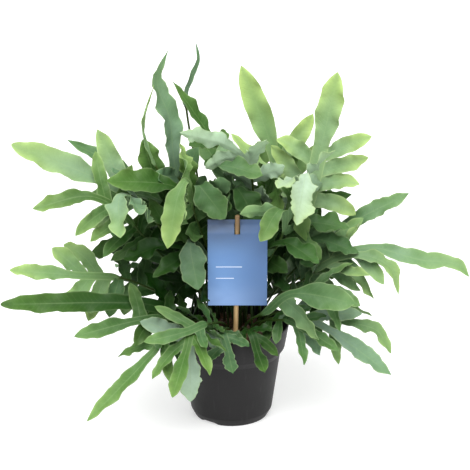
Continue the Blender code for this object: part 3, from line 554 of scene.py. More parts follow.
class Growth:
    """A frond worked out: its rachis, the rows of its blade and the lobes to both sides."""

    def __init__(self, frond, socket, turn, lift):
        self.frond = frond
        self.tone = tone_of(frond)
        knots = turned_knots(frond, turn, lift)
        outward = Vector((knots[-1].x - socket.x, knots[-1].y - socket.y, 0)).normalized()
        self.across = UP.cross(outward)
        self.path = smooth_path(socket, [socket + UP * ABOVE_SOCKET, *knots])
        self.neck = self.nearest(knots[1])
        self.pitch = max(LEAST_PITCH, frond.width * frond.spacing)
        self.lobe_half = self.pitch * LOBE_SHARE
        self.first_row = self.neck - self.steps() * self.pitch
        self.blade = self.first_row - WING_START_PITCHES * self.pitch
        self.lobes = [self.lobe(i, side) for i in range(frond.pairs) for side in (1, -1)]
        self.phase = random.Random(frond.name).uniform(0, 2 * math.pi)

    def steps(self):
        """Steps between the wing's rows: two for each lobe, those of one side a step ahead of the other's."""
        return 2 * self.frond.pairs + 1 if self.frond.pairs else 0

    def nearest(self, point):
        return min(self.path.marks, key=lambda s: (self.path.at(s) - point).length)

    def lobe(self, pair, side):
        """The lobe's own size and bearing, drawn from a seed of its name."""
        frond = self.frond
        draw = random.Random(f"{frond.name} {pair} {side}")
        rise = pair / max(frond.pairs, 1)
        return {
            "side": side,
            "row": 2 * pair + (1 if side > 0 else 0),
            "length": frond.reach * (1.0 - LOBE_SHORTER * rise) * draw.uniform(*LOBE_LENGTHS),
            "angle": math.radians(frond.sweep + LOBE_CLOSER * (0.5 - rise) + draw.uniform(*LOBE_ANGLES)),
            "sag": draw.uniform(*LOBE_SAGS),
            "hook": draw.uniform(*LOBE_HOOKS),
            "twist": math.radians(draw.uniform(*LOBE_TWISTS)),
            "wave": draw.uniform(0, 2 * math.pi),
        }

    def normal(self, s):
        """The way the upper face looks: up along the arch, turned towards the viewer by the frond's face."""
        heading = self.path.heading(s, FACING_STEP)
        face = self.frond.face
        look = heading.cross(self.across) * (1 - abs(face)) + VIEWER * face
        return (look - heading * look.dot(heading)).normalized()

    def half_width(self, s):
        """Half the width across the frond: a narrow stipe, then the wing, then the end lobe."""
        full = self.frond.width / 2
        if s >= self.neck:
            t = (s - self.neck) / (self.path.length - self.neck)
            root = min(self.frond.wing, LOBE_ROOT_SHARE * full)
            return strap(t, root, full, self.frond.blunt, self.frond.sharp)
        share = smooth((s - self.blade) / (self.first_row - self.blade))
        return STIPE_HALF + (self.frond.wing - STIPE_HALF) * share

    def rows(self):
        """Arc lengths of the rows: stipe, blade, end lobe and its tip."""
        climb = self.blade - ABOVE_SOCKET
        count, marks, _ = self.frond.rows
        stipe = [0.0] + [ABOVE_SOCKET + climb * k / count for k in range(count + 1)]
        blade = [self.first_row + k * self.pitch for k in range(self.steps() + 1)]
        end = [self.neck + t * (self.path.length - self.neck) for t in marks]
        tip = [self.neck + t * (self.path.length - self.neck) for t in tip_marks(marks[-1])]
        return stipe, blade, end, tip

    def spine(self, lobe, bend):
        """(point, heading, normal) along a lobe's midrib, for a bend of (flex, swing, share of length)."""
        flex, swing, share = bend
        angle = lobe["angle"] + math.radians(swing)
        s = self.first_row + (lobe["row"] + 1) * self.pitch
        heading, normal = self.path.heading(s), self.normal(s)
        right = heading.cross(normal)
        point = self.path.at(s) + right * min(self.frond.wing, self.half_width(s)) * lobe["side"]
        out = heading * math.cos(angle) + right * lobe["side"] * math.sin(angle)
        step = lobe["length"] * share / SPINE_STEPS
        spine = []
        for k in range(SPINE_STEPS + 1):
            t = k / SPINE_STEPS
            way = (out + (heading * lobe["hook"] + normal * flex - UP * lobe["sag"]) * t).normalized()
            facing = (normal - way * normal.dot(way)).normalized()
            facing = Matrix.Rotation(lobe["twist"] * t, 3, way) @ facing
            spine.append((point.copy(), way, facing))
            point += way * step
        return spine

    def waved(self, t, u, half, phase):
        """The solids' own ruffle and rise of the margin off the blade."""
        wave = math.sin(2 * math.pi * RUFFLE_WAVES * t + phase + RUFFLE_SHIFT * u) * smooth(t * RUFFLE_FADE)
        return abs(u) ** MARGIN_POWER * half * (RUFFLE * wave + SIDE_RISE)

    def frilled(self, along, t, u, half, phase):
        """(wider, higher): the waves of a margin, in its plane as a share and off it in millimetres.

        The blade is also creased along its midrib, as much below the solid there as above it at the margins.
        """
        side = 1 if u > 0 else -1
        fade = smooth(t * FADE_IN) * smooth((1 - t) * FADE_OUT)
        wider = sum(
            size * math.sin(2 * math.pi * along / length + phase * (k + 1) + side * (WAVE_SHIFT + k))
            for k, (length, size) in enumerate(MARGIN_WAVES)
        )
        tooth = abs(math.sin(math.pi * along / TEETH_LENGTH + phase)) - 0.5
        wider = wider * self.tone.jag + TEETH * tooth * max(0.0, self.tone.jag - 1)
        tall = min(MOST_RUFFLE, RUFFLE_SHARE * half) * self.tone.frill
        higher = tall * abs(u) ** 2 * sum(
            size * math.sin(2 * math.pi * along / length + phase * (2 - k) - side * (RUFFLE_LAG + k))
            for k, (length, size) in enumerate(RUFFLE_LENGTHS)
        )
        return 1 + wider * fade, (higher + CREASE * half * (abs(u) - 0.5)) * fade

    def fine_half(self, across, half):
        """Half the thickness at a distance from the midrib: a raised rib, a thin blade, a thinner margin."""
        rib = math.exp(-((across / RIB_WIDTH) ** 2))
        margin = smooth((half - abs(across)) / THIN_MARGIN)
        return FINE_EDGE + (FINE_BLADE - FINE_EDGE) * margin + (FINE_RIB - FINE_BLADE) * rib * margin

    def strip_row(self, surface, s):
        """One row across stipe, wing or end lobe, left to right: its vertex numbers and their spots."""
        centre, normal = self.path.at(s), self.normal(s)
        right = self.path.heading(s).cross(normal)
        half = self.half_width(s)
        blade = smooth((s - self.blade) / (self.first_row - self.blade))
        along = s - self.neck
        share = along / (self.path.length - self.neck) if along > 0 else along / self.neck
        row, spots = [], []
        for k in range(COLUMNS):
            u = 2 * k / (COLUMNS - 1) - 1
            wide, lift = 1.0, 0.0
            if along > 0:
                wide, lift = self.frilled(along, share, u, half, self.phase)
                lift += self.waved(share, u, half, self.neck)
            round_half = STIPE_HALF * math.sqrt(max(LEAST_ROUND, 1 - u * u))
            thick = round_half + (self.fine_half(half * u, half) - round_half) * blade
            row.append(surface.add(centre + right * half * u * wide + normal * lift, normal, thick))
            spots.append(surface.spot(s, half * u, half, share, *self.tone[:3]))
        return row, spots

    def lobe_row(self, surface, lobe, spine, t, root, shade):
        """One row across a lobe, left to right, eased out of the root's own line."""
        k = min(int(t * SPINE_STEPS), SPINE_STEPS - 1)
        share = t * SPINE_STEPS - k
        centre, way, normal = (a.lerp(b, share) for a, b in zip(spine[k], spine[k + 1]))
        normal.normalize()
        right = way.normalized().cross(normal)
        wide = self.lobe_half * self.frond.broad
        half = strap(t, wide * LOBE_ROOT_SHARE, wide)
        middle = root[len(root) // 2]
        free = smooth(t / self.frond.rows[2][0])
        along = t * (spine[-1][0] - spine[0][0]).length
        row, spots = [], []
        for j, at_root in enumerate(root):
            u = 2 * j / (len(root) - 1) - 1
            swell, lift = self.frilled(along, t, u, half, lobe["wave"])
            lift += self.waved(t, u, half, lobe["wave"])
            offset = (at_root - middle).lerp(right * half * u * swell, free)
            thick = self.fine_half(offset.length, max(half, offset.length))
            row.append(surface.add(centre + offset + normal * lift, normal, thick))
            spots.append(surface.spot(along, half * u, half, t, *shade))
        return row, spots

    def fine_surface(self, bends):
        """The fine middle surface of the frond, with a bend for each lobe that it has."""
        surface = Surface()
        stipe, blade, end, point = self.rows()
        marks = refined([*stipe, *blade, *end], PARTS) + point
        rows, spots = zip(*[self.strip_row(surface, s) for s in marks])
        tip, normal = self.path.at(self.path.length), self.normal(self.path.length)
        last = surface.spot(self.path.length, 0.0, TIP_HALF, 1.0, *self.tone[:3])
        surface.lay([*rows, [surface.add(tip, normal, FINE_EDGE)]], [*spots, [last]])
        first = len(stipe) * PARTS
        wing = rows[first : first + self.steps() * PARTS + 1]
        edges = {-1: [r[0] for r in wing], 1: [r[-1] for r in wing]}
        for lobe, bend in bends:
            self.add_lobe(surface, edges[lobe["side"]], lobe, bend)
        return surface

    def more_lobes(self):
        """Lobes below those that the solid has, each with its rows; the solid's own have lower numbers."""
        lobes = []
        for k, row in enumerate(() if self.frond.bare else MORE_ROWS):
            lobe = self.lobe(-1 - k // 2, 1 if k % 2 else -1)
            s = self.first_row + (row + 1) * self.pitch
            reach = self.frond.reach or MORE_REACH * self.frond.width
            lobe |= {"row": row, "length": reach * MORE_LENGTH * (1 - MORE_SHORTER * k)}
            if s - self.lobe_half > MORE_FROM * self.neck and self.frond.width > LEAST_WIDTH:
                lobes.append(lobe)
        return lobes

    def root_line(self, lobe, columns):
        """Points along the rachis that a lower lobe grows from, left to right as the lobe points."""
        s = self.first_row + (lobe["row"] + 1) * self.pitch
        half = self.lobe_half * LOBE_ROOT_SHARE
        line = [self.path.at(s + half * (2 * j / (columns - 1) - 1)) for j in range(columns)]
        return line[::-1] if lobe["side"] > 0 else line

    def coarse_rows(self, lobe, bend):
        """(point, normal) along and across a lobe with no waves, for finding room."""
        spine = self.spine(lobe, bend)
        line = self.root_line(lobe, 3)
        rows = []
        for t in MORE_MARKS:
            point, way, normal = spine[round(t * SPINE_STEPS)]
            half = strap(t, self.lobe_half * LOBE_ROOT_SHARE, self.lobe_half)
            right = way.cross(normal) * half
            rows.append([(point - right, normal), (point, normal), (point + right, normal)])
        return [[(p, rows[0][0][1]) for p in line], *rows]

    def add_more(self, surface, room):
        """Adds the lower lobes that find room, each a closed body with its root sunk in the rachis."""
        node = f"frond_{self.frond.name}"
        ways = [(flex, swing, share) for share in MORE_SHARES for flex in MORE_FLEXES for swing in SWINGS]
        for lobe in self.more_lobes():
            bend = next((way for way in ways if room.free(self.coarse_rows(lobe, way), node)), None)
            if bend:
                room.add("more", *coarse_body(self.coarse_rows(lobe, bend)[1:]))
                normal = self.spine(lobe, bend)[0][2]
                root = [surface.add(p, normal, FINE_BLADE) for p in self.root_line(lobe, COLUMNS)]
                self.lay_lobe(surface, root, lobe, bend)

    def add_lobe(self, surface, edge, lobe, bend):
        """Adds a fine lobe that grows out of its stretch of the wing's edge."""
        start = lobe["row"] * PARTS
        root = edge[start : start + COLUMNS]
        self.lay_lobe(surface, root[::-1] if lobe["side"] > 0 else root, lobe, bend)

    def lay_lobe(self, surface, root, lobe, bend):
        """Lays a fine lobe from the vertices of its root to its tip."""
        line = [surface.points[i] for i in root]
        spine = self.spine(lobe, bend)
        draw = random.Random(f"{self.frond.name} {lobe['row']} tone")
        youth, bloom, dark = self.tone[:3]
        if lobe["row"] < 0:
            youth, dark = youth * LOWER_YOUTH, dark + LOWER_DARK
        shade = [max(0.0, value + draw.uniform(-LOBE_STRAY, LOBE_STRAY)) for value in (youth, bloom, dark)]
        half = self.lobe_half * LOBE_ROOT_SHARE
        rows = [root]
        across = [half * (2 * j / (len(root) - 1) - 1) for j in range(len(root))]
        spots = [[surface.spot(0.0, place, half, 0.0, *shade) for place in across]]
        marks = self.frond.rows[2]
        for t in refined([0.0, *marks], PARTS)[1:] + tip_marks(marks[-1]):
            row, places = self.lobe_row(surface, lobe, spine, t, line, shade)
            rows.append(row)
            spots.append(places)
        length = (spine[-1][0] - spine[0][0]).length
        rows.append([surface.add(spine[-1][0], spine[-1][2], FINE_EDGE)])
        spots.append([surface.spot(length, 0.0, TIP_HALF, 1.0, *shade)])
        surface.lay(rows, spots)


def box_of(points):
    """(least, most) of the points along each axis."""
    return [(min(p[i] for p in points), max(p[i] for p in points)) for i in range(3)]


class Room:
    """What stands, for growing lobes clear of it."""

    def __init__(self):
        self.standing = []
        for name, node in frame["nodes"].items():
            points = [v.co / METRE for v in node.data.vertices]
            self.add(name, points, [tuple(p.vertices) for p in node.data.polygons])

    def add(self, name, points, faces):
        self.standing.append((name, box_of(points), BVHTree.FromPolygons(points, faces)))

    def free(self, rows, own):
        """Whether a lobe's rows, thickened by the clearance, lie in the box and touch nothing.

        Its first rows may touch its own frond.
        """
        whole, tip = coarse_body(rows), coarse_body(rows[2:])
        box = box_of(whole[0])
        if any(low >= least or most >= high for (least, most), low, high in zip(box, BOX_LOW, BOX_HIGH)):
            return False
        trees = BVHTree.FromPolygons(*whole), BVHTree.FromPolygons(*tip)
        for name, other, standing in self.standing:
            apart = any(a[0] > b[1] or b[0] > a[1] for a, b in zip(box, other))
            if not apart and trees[name == own].overlap(standing):
                return False
        return True


def coarse_body(rows):
    """(points, faces) of two sheets joined by a rim, a clearance off the rows of (point, normal)."""
    wide = len(rows[0])
    points = [p + n * MORE_CLEARANCE for row in rows for p, n in row]
    points += [p - n * MORE_CLEARANCE for row in rows for p, n in row]
    half = len(points) // 2
    ring = [*range(wide)] + [k * wide + wide - 1 for k in range(1, len(rows))]
    ring += [(len(rows) - 1) * wide + j for j in reversed(range(wide - 1))]
    ring += [k * wide for k in reversed(range(1, len(rows) - 1))]
    faces = []
    for k in range(len(rows) - 1):
        for j in range(wide - 1):
            a = k * wide + j
            faces += [(a, a + 1, a + wide + 1, a + wide)]
            faces += [(a + half, a + wide + half, a + wide + 1 + half, a + 1 + half)]
    faces += [(b, a, a + half, b + half) for a, b in zip(ring, ring[1:] + ring[:1])]
    return points, faces


def card_views():
    """The spaces before the card that leaves stay out of: (points, faces) of two boxes towards the viewer."""
    views = []
    for right, top in ((CARD_WIDTH - HIDDEN_WIDTH, CARD_HIGH), (CARD_WIDTH, CARD_HIGH - HIDDEN_HEIGHT)):
        corners = []
        for x in (CARD_LEFT, CARD_LEFT + right):
            for y in (SIGHT_FAR, SIGHT_NEAR):
                rise = (STICK_FOOT.y - y) * SIGHT_SLOPE
                corners += [Vector((x, y, z + rise)) for z in (CARD_LOW, top)]
        sides = [(0, 1, 3, 2), (4, 6, 7, 5), (0, 4, 5, 1), (2, 3, 7, 6), (0, 2, 6, 4), (1, 5, 7, 3)]
        views.append((corners, sides))
    return views


def turned_knots(frond, turn, lift):
    """The frond's shoulder, neck, way points and apex, turned round the pot and lifted."""
    swing = Matrix.Rotation(math.radians(turn), 3, "Z")
    knots = [swing @ Vector(k) for k in (frond.shoulder, frond.neck, *frond.via, frond.apex)]
    for k, knot in enumerate(knots):
        knot += UP * lift * (1.0 if k else SHOULDER_LIFT)
    return knots


def rhizome_line():
    """The rhizome's middle line, from its old end in the middle of the pot to its growing tip."""
    points = []
    for k in range(RHIZOME_LINE_STEPS + 1):
        share = k / RHIZOME_LINE_STEPS
        angle = math.radians(RHIZOME_START + 360 * RHIZOME_TURNS * share**RHIZOME_TURN_POWER)
        radius = RHIZOME_INNER + (RHIZOME_OUTER - RHIZOME_INNER) * share**RHIZOME_SPREAD_POWER
        points.append(Vector((radius * math.cos(angle), radius * math.sin(angle), RHIZOME_MIDDLE)))
    return Path(points)


def sockets(line):
    """The feet of the stipes, staggered along the rhizome."""
    found = []
    step = (line.length - 2 * RHIZOME_RADIUS) / SOCKETS
    for k in range(SOCKETS):
        s = RHIZOME_RADIUS + step * (k + 0.5)
        foot = line.at(s) + UP.cross(line.heading(s)) * SOCKET_STAGGER * (1 if k % 2 else -1)
        foot.z = RHIZOME_MIDDLE + RHIZOME_RADIUS - SOCKET_DEPTH + SEAT_GAP
        found.append(foot)
    return found


class Corners:
    """The corners of a solid, for finding whether a point is one of them."""

    def __init__(self, node):
        points = [v.co / METRE for v in frame["nodes"][node].data.vertices]
        self.points = points
        self.tree = KDTree(len(points))
        for i, point in enumerate(points):
            self.tree.insert(point, i)
        self.tree.balance()

    def off(self, point):
        return self.tree.find(point)[2]

    def has_tip(self, point, normal):
        return self.off(point + normal * EDGE_HALF) < MATCH and self.off(point - normal * EDGE_HALF) < MATCH


def foot_of(corners, feet):
    """The socket that a solid's stipe stands in."""
    level = [p for p in corners.points if abs(p.z - feet[0].z) < MATCH]
    return min(feet, key=lambda foot: min((Vector((p.x, p.y)) - foot.xy).length for p in level))


def growth_of(frond, feet, corners):
    """The frond as its solid grew: from the socket, turn and lift that put its tip on the solid's corners."""
    foot = foot_of(corners, feet)
    for turn in TURNS:
        for lift in LIFTS:
            apex = turned_knots(frond, turn, lift)[-1]
            if abs(corners.off(apex) - EDGE_HALF) > MATCH:
                continue
            growth = Growth(frond, foot, turn, lift)
            if corners.has_tip(growth.path.at(growth.path.length), growth.normal(growth.path.length)):
                return growth
    raise ValueError(f"{frond.name} matches nothing")


def bends_of(growth, corners):
    """Each lobe that the solid has, with the bend that puts its tip on the solid's corners."""
    ways = [(flex, swing, share) for share in SHARES for flex in FLEXES for swing in SWINGS]
    found = []
    for lobe in growth.lobes:
        for bend in ways:
            point, _, normal = growth.spine(lobe, bend)[-1]
            if corners.has_tip(point, normal):
                found.append((lobe, bend))
                break
    return found


def srgb(red, green, blue):
    """The linear colour of an 8-bit one, with full alpha."""
    return (*(((c / 255 + 0.055) / 1.055) ** 2.4 for c in (red, green, blue)), 1.0)


class Look:
    """A material in the making: each method adds a node and returns its output."""

    def __init__(self, name, roughness=0.5):
        self.material = bpy.data.materials.new(name)
        self.material.use_nodes = True
        self.tree = self.material.node_tree
        self.shader = self.tree.nodes["Principled BSDF"]
        self.shader.inputs["Roughness"].default_value = roughness

    def put(self, socket, value):
        if isinstance(value, bpy.types.NodeSocket):
            self.tree.links.new(value, socket)
        else:
            socket.default_value = value

    def add(self, kind, inputs, **settings):
        node = self.tree.nodes.new(f"ShaderNode{kind}")
        for key, value in settings.items():
            setattr(node, key, value)
        for key, value in inputs.items():
            self.put(node.inputs[key], value)
        return node

    def set(self, **inputs):
        """Sets the shader's own inputs, whose names have underscores for spaces."""
        for key, value in inputs.items():
            self.put(self.shader.inputs[key.replace("_", " ")], value)

    def math(self, operation, *values):
        return self.add("Math", dict(enumerate(values)), operation=operation).outputs[0]

    def vector(self, operation, *values):
        node = self.add("VectorMath", dict(enumerate(values)), operation=operation)
        return node.outputs["Value" if operation == "LENGTH" else "Vector"]

    def step(self, value, start, end):
        """0 to 1 as the value goes from start to end, eased at both."""
        limits = {"Value": value, "From Min": start, "From Max": end}
        return self.add("MapRange", limits, interpolation_type="SMOOTHSTEP").outputs[0]

    def span(self, value, low, high):
        """A 0 to 1 value spread from low to high."""
        return self.add("MapRange", {"Value": value, "To Min": low, "To Max": high}).outputs[0]

    def mix(self, share, first, second):
        return self.add("Mix", {0: share, 6: first, 7: second}, data_type="RGBA").outputs[2]

    def times(self, product, *values):
        for value in values:
            product = self.math("MULTIPLY", product, value)
        return product

    def tint(self, colour, over, *shares):
        """The colour with another laid over it by the product of the shares."""
        return self.mix(self.times(*shares), colour, over)

    def split(self, vector):
        return self.add("SeparateXYZ", {0: vector}).outputs

    def attribute(self, name):
        return self.add("Attribute", {}, attribute_name=name).outputs

    def place(self, stretch=(1, 1, 1)):
        """The point's place in metres, each axis stretched."""
        spot = self.add("TexCoord", {}).outputs["Object"]
        return self.add("Mapping", {"Vector": spot, "Scale": stretch}).outputs[0]

    def noise(self, vector, scale, detail=3.0):
        return self.add("TexNoise", {"Vector": vector, "Scale": scale, "Detail": detail}).outputs[0]

    def bump(self, height, depth, strength=1.0):
        """Relief of a 0 to 1 height, with a depth in metres."""
        node = self.add("Bump", {"Height": height, "Distance": depth, "Strength": strength})
        self.put(self.shader.inputs["Normal"], node.outputs[0])


LEAF_DEEP = srgb(25, 70, 6)
LEAF_GREEN = srgb(76, 132, 40)
LEAF_BLOOM = srgb(140, 168, 147)
LEAF_PALE = srgb(206, 228, 208)
LEAF_LIME = srgb(188, 216, 130)
LEAF_UNDER = srgb(140, 176, 132)
LEAF_VEIN = srgb(160, 186, 126)
LEAF_MARGIN = srgb(182, 206, 150)
# Painted shade colour for the leaves in the plant's middle
LEAF_PAINTED_SHADE = srgb(12, 46, 2)
STIPE_GREEN = srgb(66, 84, 34)
# Brown of the stipes' feet, darkened towards black as painted shade low in the plant
STIPE_SHADED_BROWN = srgb(46, 36, 20)
LEAF_NOISES = ((34.0, 4.0), (150.0, 3.0), (520.0, 4.0))
LEAF_ROUGHNESS = (0.4, 0.6)
LEAF_SPECULAR = 0.2
LEAF_RELIEF = 0.0005
LEAF_GLOW = 0.17

# Side veins: their distance in millimetres, their slant, and how far flecks shift them
VEIN_STEP = 5.2
VEIN_SLANT = 0.8
VEIN_WANDER = 0.9
VEIN_SHARE = 0.09
RIB_SHARE = 0.2
UNDER_SHARE = 0.42

# Painted shade: the middle of the plant and its reach, in metres, where leaves are painted darker for the
# shade inside the plant
SHADE_MIDDLE = (0.0, 0.005, 0.165)
SHADE_REACH = (0.165, 0.125, 0.12)
SHADE_SHARE = 0.85

POT_BLACK, POT_RUBBED, POT_DUST = srgb(21, 20, 21), srgb(34, 33, 34), srgb(70, 66, 60)
POT_DUST_HEIGHTS = (0.088, 0.102)
POT_ROUGHNESS = (0.42, 0.66)
PEAT_DARK, PEAT_BROWN, PEAT_FIBRE = srgb(24, 18, 14), srgb(58, 43, 30), srgb(92, 72, 50)
# Rhizome skin and golden scales, darkened as painted shade low under the fronds
SKIN_COLOURS_SHADED = (srgb(50, 34, 22), srgb(96, 66, 38))
SCALE_COLOURS_SHADED = (srgb(66, 44, 24), srgb(128, 92, 52))
BAMBOO_DARK, BAMBOO_PALE = srgb(142, 114, 74), srgb(184, 156, 110)
# The stick's dark top brown is painted shade, from where it passes behind the card upwards
BAMBOO_BAND, BAMBOO_TOP_SHADE = srgb(122, 92, 56), srgb(84, 62, 36)
STICK_SHADE_HEIGHTS = (0.203, 0.222)

# The card's colours, and its rules: height, start and end from the card's left side, in metres
# The grey-blue of the card's upper part is painted shade, where the card bends back over the stick
CARD_BLUE, CARD_TOP_SHADE, CARD_BELOW = srgb(97, 132, 178), srgb(60, 70, 86), srgb(128, 158, 203)
CARD_RIGHT, CARD_CLOUD, CARD_WHITE = srgb(74, 100, 138), srgb(80, 112, 162), srgb(226, 232, 244)
CARD_RULES = ((0.178, 0.008, 0.034), (0.166, 0.008, 0.026))
RULE_HALF = 0.00035


def leaf_look(name):
    """Waxy leaf: green under a grey-blue bloom, lime towards young tips, veined, with a pale margin and
    painted shade towards the plant's middle.
    """
    look = Look(name)
    along, across, half = look.split(look.attribute("leaf_place")["Vector"])
    youth, bloom, dark = look.split(look.attribute("leaf_tone")["Vector"])
    share = look.attribute("leaf_share")["Fac"]
    under = look.attribute("leaf_under")["Fac"]
    aside = look.math("ABSOLUTE", across)
    inward = look.math("SUBTRACT", half, aside)
    outer = look.math("DIVIDE", aside, half)
    place = look.place()
    patch, fleck, grain = (look.noise(place, *size) for size in LEAF_NOISES)
    tip = look.step(share, 0.2, 1.0)

    slanted = look.math("SUBTRACT", along, look.times(aside, VEIN_SLANT))
    wander = look.math("ADD", look.math("DIVIDE", slanted, VEIN_STEP), look.times(fleck, VEIN_WANDER))
    off_vein = look.math("ABSOLUTE", look.math("SUBTRACT", look.math("FRACT", wander), 0.5))
    vein = look.times(look.step(off_vein, 0.34, 0.5), look.step(inward, 0.4, 3.5), look.span(dark, 1.0, 0.5))
    rib = look.times(look.step(aside, 0.75, 0.2), look.step(share, 1.0, 0.6))
    margin = look.times(look.step(inward, 1.3, 0.2), look.step(half, 1.5, 4.0))

    waxy = look.span(look.step(patch, 0.3, 0.7), 0.75, 1.05)
    shady = look.span(look.step(patch, 0.35, 0.65), 1.1, 0.8)
    young = look.times(look.span(tip, 0.35, 1.2), look.span(look.math("POWER", outer, 1.5), 0.6, 1.2))
    stipe = look.math("SUBTRACT", 1.0, look.step(share, -0.02, 0.0))
    flecked = look.times(look.step(fleck, 0.35, 0.7), look.span(dark, 0.05, 0.2))
    # Painted shade: darker towards the plant's middle, more so on the darker fronds
    away = look.vector("DIVIDE", look.vector("SUBTRACT", place, SHADE_MIDDLE), SHADE_REACH)
    painted_shade = look.times(look.step(look.vector("LENGTH", away), 1.2, 0.5), look.span(dark, 0.3, 1.05))

    colour = look.tint(LEAF_GREEN, LEAF_BLOOM, bloom, waxy, look.span(tip, 1.0, 0.7))
    colour = look.tint(colour, LEAF_PALE, look.step(bloom, 1.0, 1.5), 0.95)
    colour = look.tint(colour, LEAF_DEEP, dark, shady, look.span(tip, 1.0, 0.6))
    colour = look.tint(colour, LEAF_LIME, young, youth)
    colour = look.tint(colour, LEAF_VEIN, vein, VEIN_SHARE)
    colour = look.tint(colour, LEAF_VEIN, rib, RIB_SHARE)
    colour = look.tint(colour, LEAF_MARGIN, margin, look.span(bloom, 0.2, 0.55))
    colour = look.tint(colour, LEAF_UNDER, under, UNDER_SHARE)
    colour = look.tint(colour, STIPE_GREEN, look.step(half, 3.2, 1.4), stipe)
    # Brown stipe feet, darkened as painted shade
    colour = look.tint(colour, STIPE_SHADED_BROWN, look.step(share, -0.8, -1.0))
    colour = look.tint(colour, LEAF_DEEP, look.math("ADD", flecked, look.span(grain, 0.0, 0.1)))
    # Lays the painted shade of the plant's middle
    colour = look.tint(colour, LEAF_PAINTED_SHADE, painted_shade, SHADE_SHARE)

    look.set(Base_Color=colour, Roughness=look.span(grain, *LEAF_ROUGHNESS), Specular_IOR_Level=LEAF_SPECULAR)
    relief = look.math("ADD", look.times(vein, -0.5), look.times(fleck, 0.5))
    look.bump(look.math("ADD", relief, look.times(grain, 0.2)), LEAF_RELIEF, 0.5)
    glow = look.add("BsdfTranslucent", {"Color": look.mix(0.25, colour, LEAF_LIME)})
    blend = look.add("MixShader", {0: LEAF_GLOW, 1: look.shader.outputs[0], 2: glow.outputs[0]})
    look.put(look.tree.nodes["Material Output"].inputs["Surface"], blend.outputs[0])
    return look.material


def pot_look():
    """Matte black moulded plastic: fine grain, faint rub marks and a dusty rim."""
    look = Look("pot_plastic")
    place = look.place()
    grain = look.noise(place, 900.0, 2.0)
    cloud = look.noise(place, 30.0, 5.0)
    rubs = look.noise(look.place((1, 1, 0.06)), 260.0, 4.0)
    dust = look.times(look.step(look.split(place)[2], *POT_DUST_HEIGHTS), look.step(cloud, 0.45, 0.7))
    colour = look.tint(POT_BLACK, POT_RUBBED, look.step(rubs, 0.55, 0.8))
    colour = look.tint(colour, POT_DUST, dust, 0.5)
    look.set(Base_Color=colour, Roughness=look.span(cloud, *POT_ROUGHNESS), Specular_IOR_Level=0.28)
    look.bump(look.math("ADD", grain, look.times(rubs, 0.6)), 0.00012, 0.5)
    return look.material


def soil_look():
    """Moist peat: near black with brown crumbs and paler fibres."""
    look = Look("peat", 0.95)
    crumb = look.noise(look.place(), 300.0, 6.0)
    fibre = look.noise(look.place((1, 6, 2)), 240.0, 3.0)
    colour = look.tint(PEAT_DARK, PEAT_BROWN, look.step(crumb, 0.35, 0.7))
    colour = look.tint(colour, PEAT_FIBRE, look.step(fibre, 0.64, 0.72))
    look.set(Base_Color=colour, Specular_IOR_Level=0.2)
    look.bump(crumb, 0.0015, 0.9)
    return look.material


def rhizome_look(name, dark, pale):
    """Golden brown of the scales that clothe the rhizome, darkened as painted shade low under the fronds."""
    look = Look(name, 0.7)
    place = look.place()
    patch = look.noise(place, 160.0, 4.0)
    grain = look.noise(place, 1500.0, 3.0)
    colour = look.tint(dark, pale, look.step(patch, 0.3, 0.7))
    colour = look.tint(colour, dark, look.span(grain, 0.0, 0.5))
    look.set(Base_Color=colour, Specular_IOR_Level=0.3, Sheen_Weight=0.3)
    look.bump(grain, 0.0004, 0.7)
    return look.material


def stick_look():
    """Split bamboo: long straight fibres, tan, with painted shade darker brown towards its top end, from
    where it passes behind the card.
    """
    look = Look("bamboo")
    fibre = look.noise(look.place((1, 1, 0.03)), 1400.0, 5.0)
    band = look.noise(look.place((1, 1, 0.15)), 260.0, 3.0)
    # Painted shade: darker brown from behind the card up to the stick's top
    top_shade = look.step(look.split(look.place())[2], *STICK_SHADE_HEIGHTS)
    colour = look.tint(BAMBOO_DARK, BAMBOO_PALE, look.step(fibre, 0.3, 0.75))
    colour = look.tint(colour, BAMBOO_BAND, look.step(band, 0.5, 0.7), 0.4)
    colour = look.tint(colour, BAMBOO_TOP_SHADE, top_shade, 0.7)
    look.set(Base_Color=colour, Roughness=look.span(fibre, 0.45, 0.7))
    look.bump(fibre, 0.0003, 0.6)
    return look.material


def card_look():
    """Satin printed card: a blue wash, greyer above as painted shade and lighter below, with two thin plain
    rules.
    """
    look = Look("card_print")
    x, _, z = look.split(look.place())
    cloud = look.noise(look.place((1, 1, 1.6)), 26.0, 3.0)
    fibre = look.noise(look.place(), 900.0, 3.0)
    low, high, left, right = (v * METRE for v in (CARD_LOW, CARD_HIGH, CARD_LEFT, CARD_LEFT + CARD_WIDTH))
    # Painted shade: greyer towards the top, where the card bends back over the stick
    colour = look.tint(CARD_BLUE, CARD_TOP_SHADE, look.step(z, low + 0.045, high))
    colour = look.tint(colour, CARD_BELOW, look.step(z, low + 0.034, low), 0.9)
    colour = look.tint(colour, CARD_RIGHT, look.step(x, left + 0.01, right), 0.85)
    colour = look.tint(colour, CARD_CLOUD, look.step(cloud, 0.4, 0.75), 0.3)
    for height, start, end in CARD_RULES:
        level = look.math("COMPARE", z, height, RULE_HALF)
        ends = look.math("GREATER_THAN", x, left + start), look.math("LESS_THAN", x, left + end)
        colour = look.tint(colour, CARD_WHITE, level, *ends, 0.75)
    look.set(Base_Color=colour, Roughness=look.span(cloud, 0.5, 0.6), Specular_IOR_Level=0.25)
    look.bump(fibre, 0.00006, 0.5)
    return look.material


def new_piece(name, vertices, faces, material, replaces=(), sharp=40):
    """A piece from millimetre points that rides on the plant and stands for its solid."""
    mesh = bpy.data.meshes.new(name)
    mesh.from_pydata(np.asarray([tuple(v) for v in vertices]) * METRE, [], faces)
    mesh.update()
    mesh.shade_smooth()
    mesh.set_sharp_from_angle(angle=math.radians(sharp))
    mesh.materials.append(material)
    piece = bpy.data.objects.new(name, mesh)
    bpy.context.scene.collection.objects.link(piece)
    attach(piece, "root")
    if replaces:
        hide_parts(*replaces)
    return piece


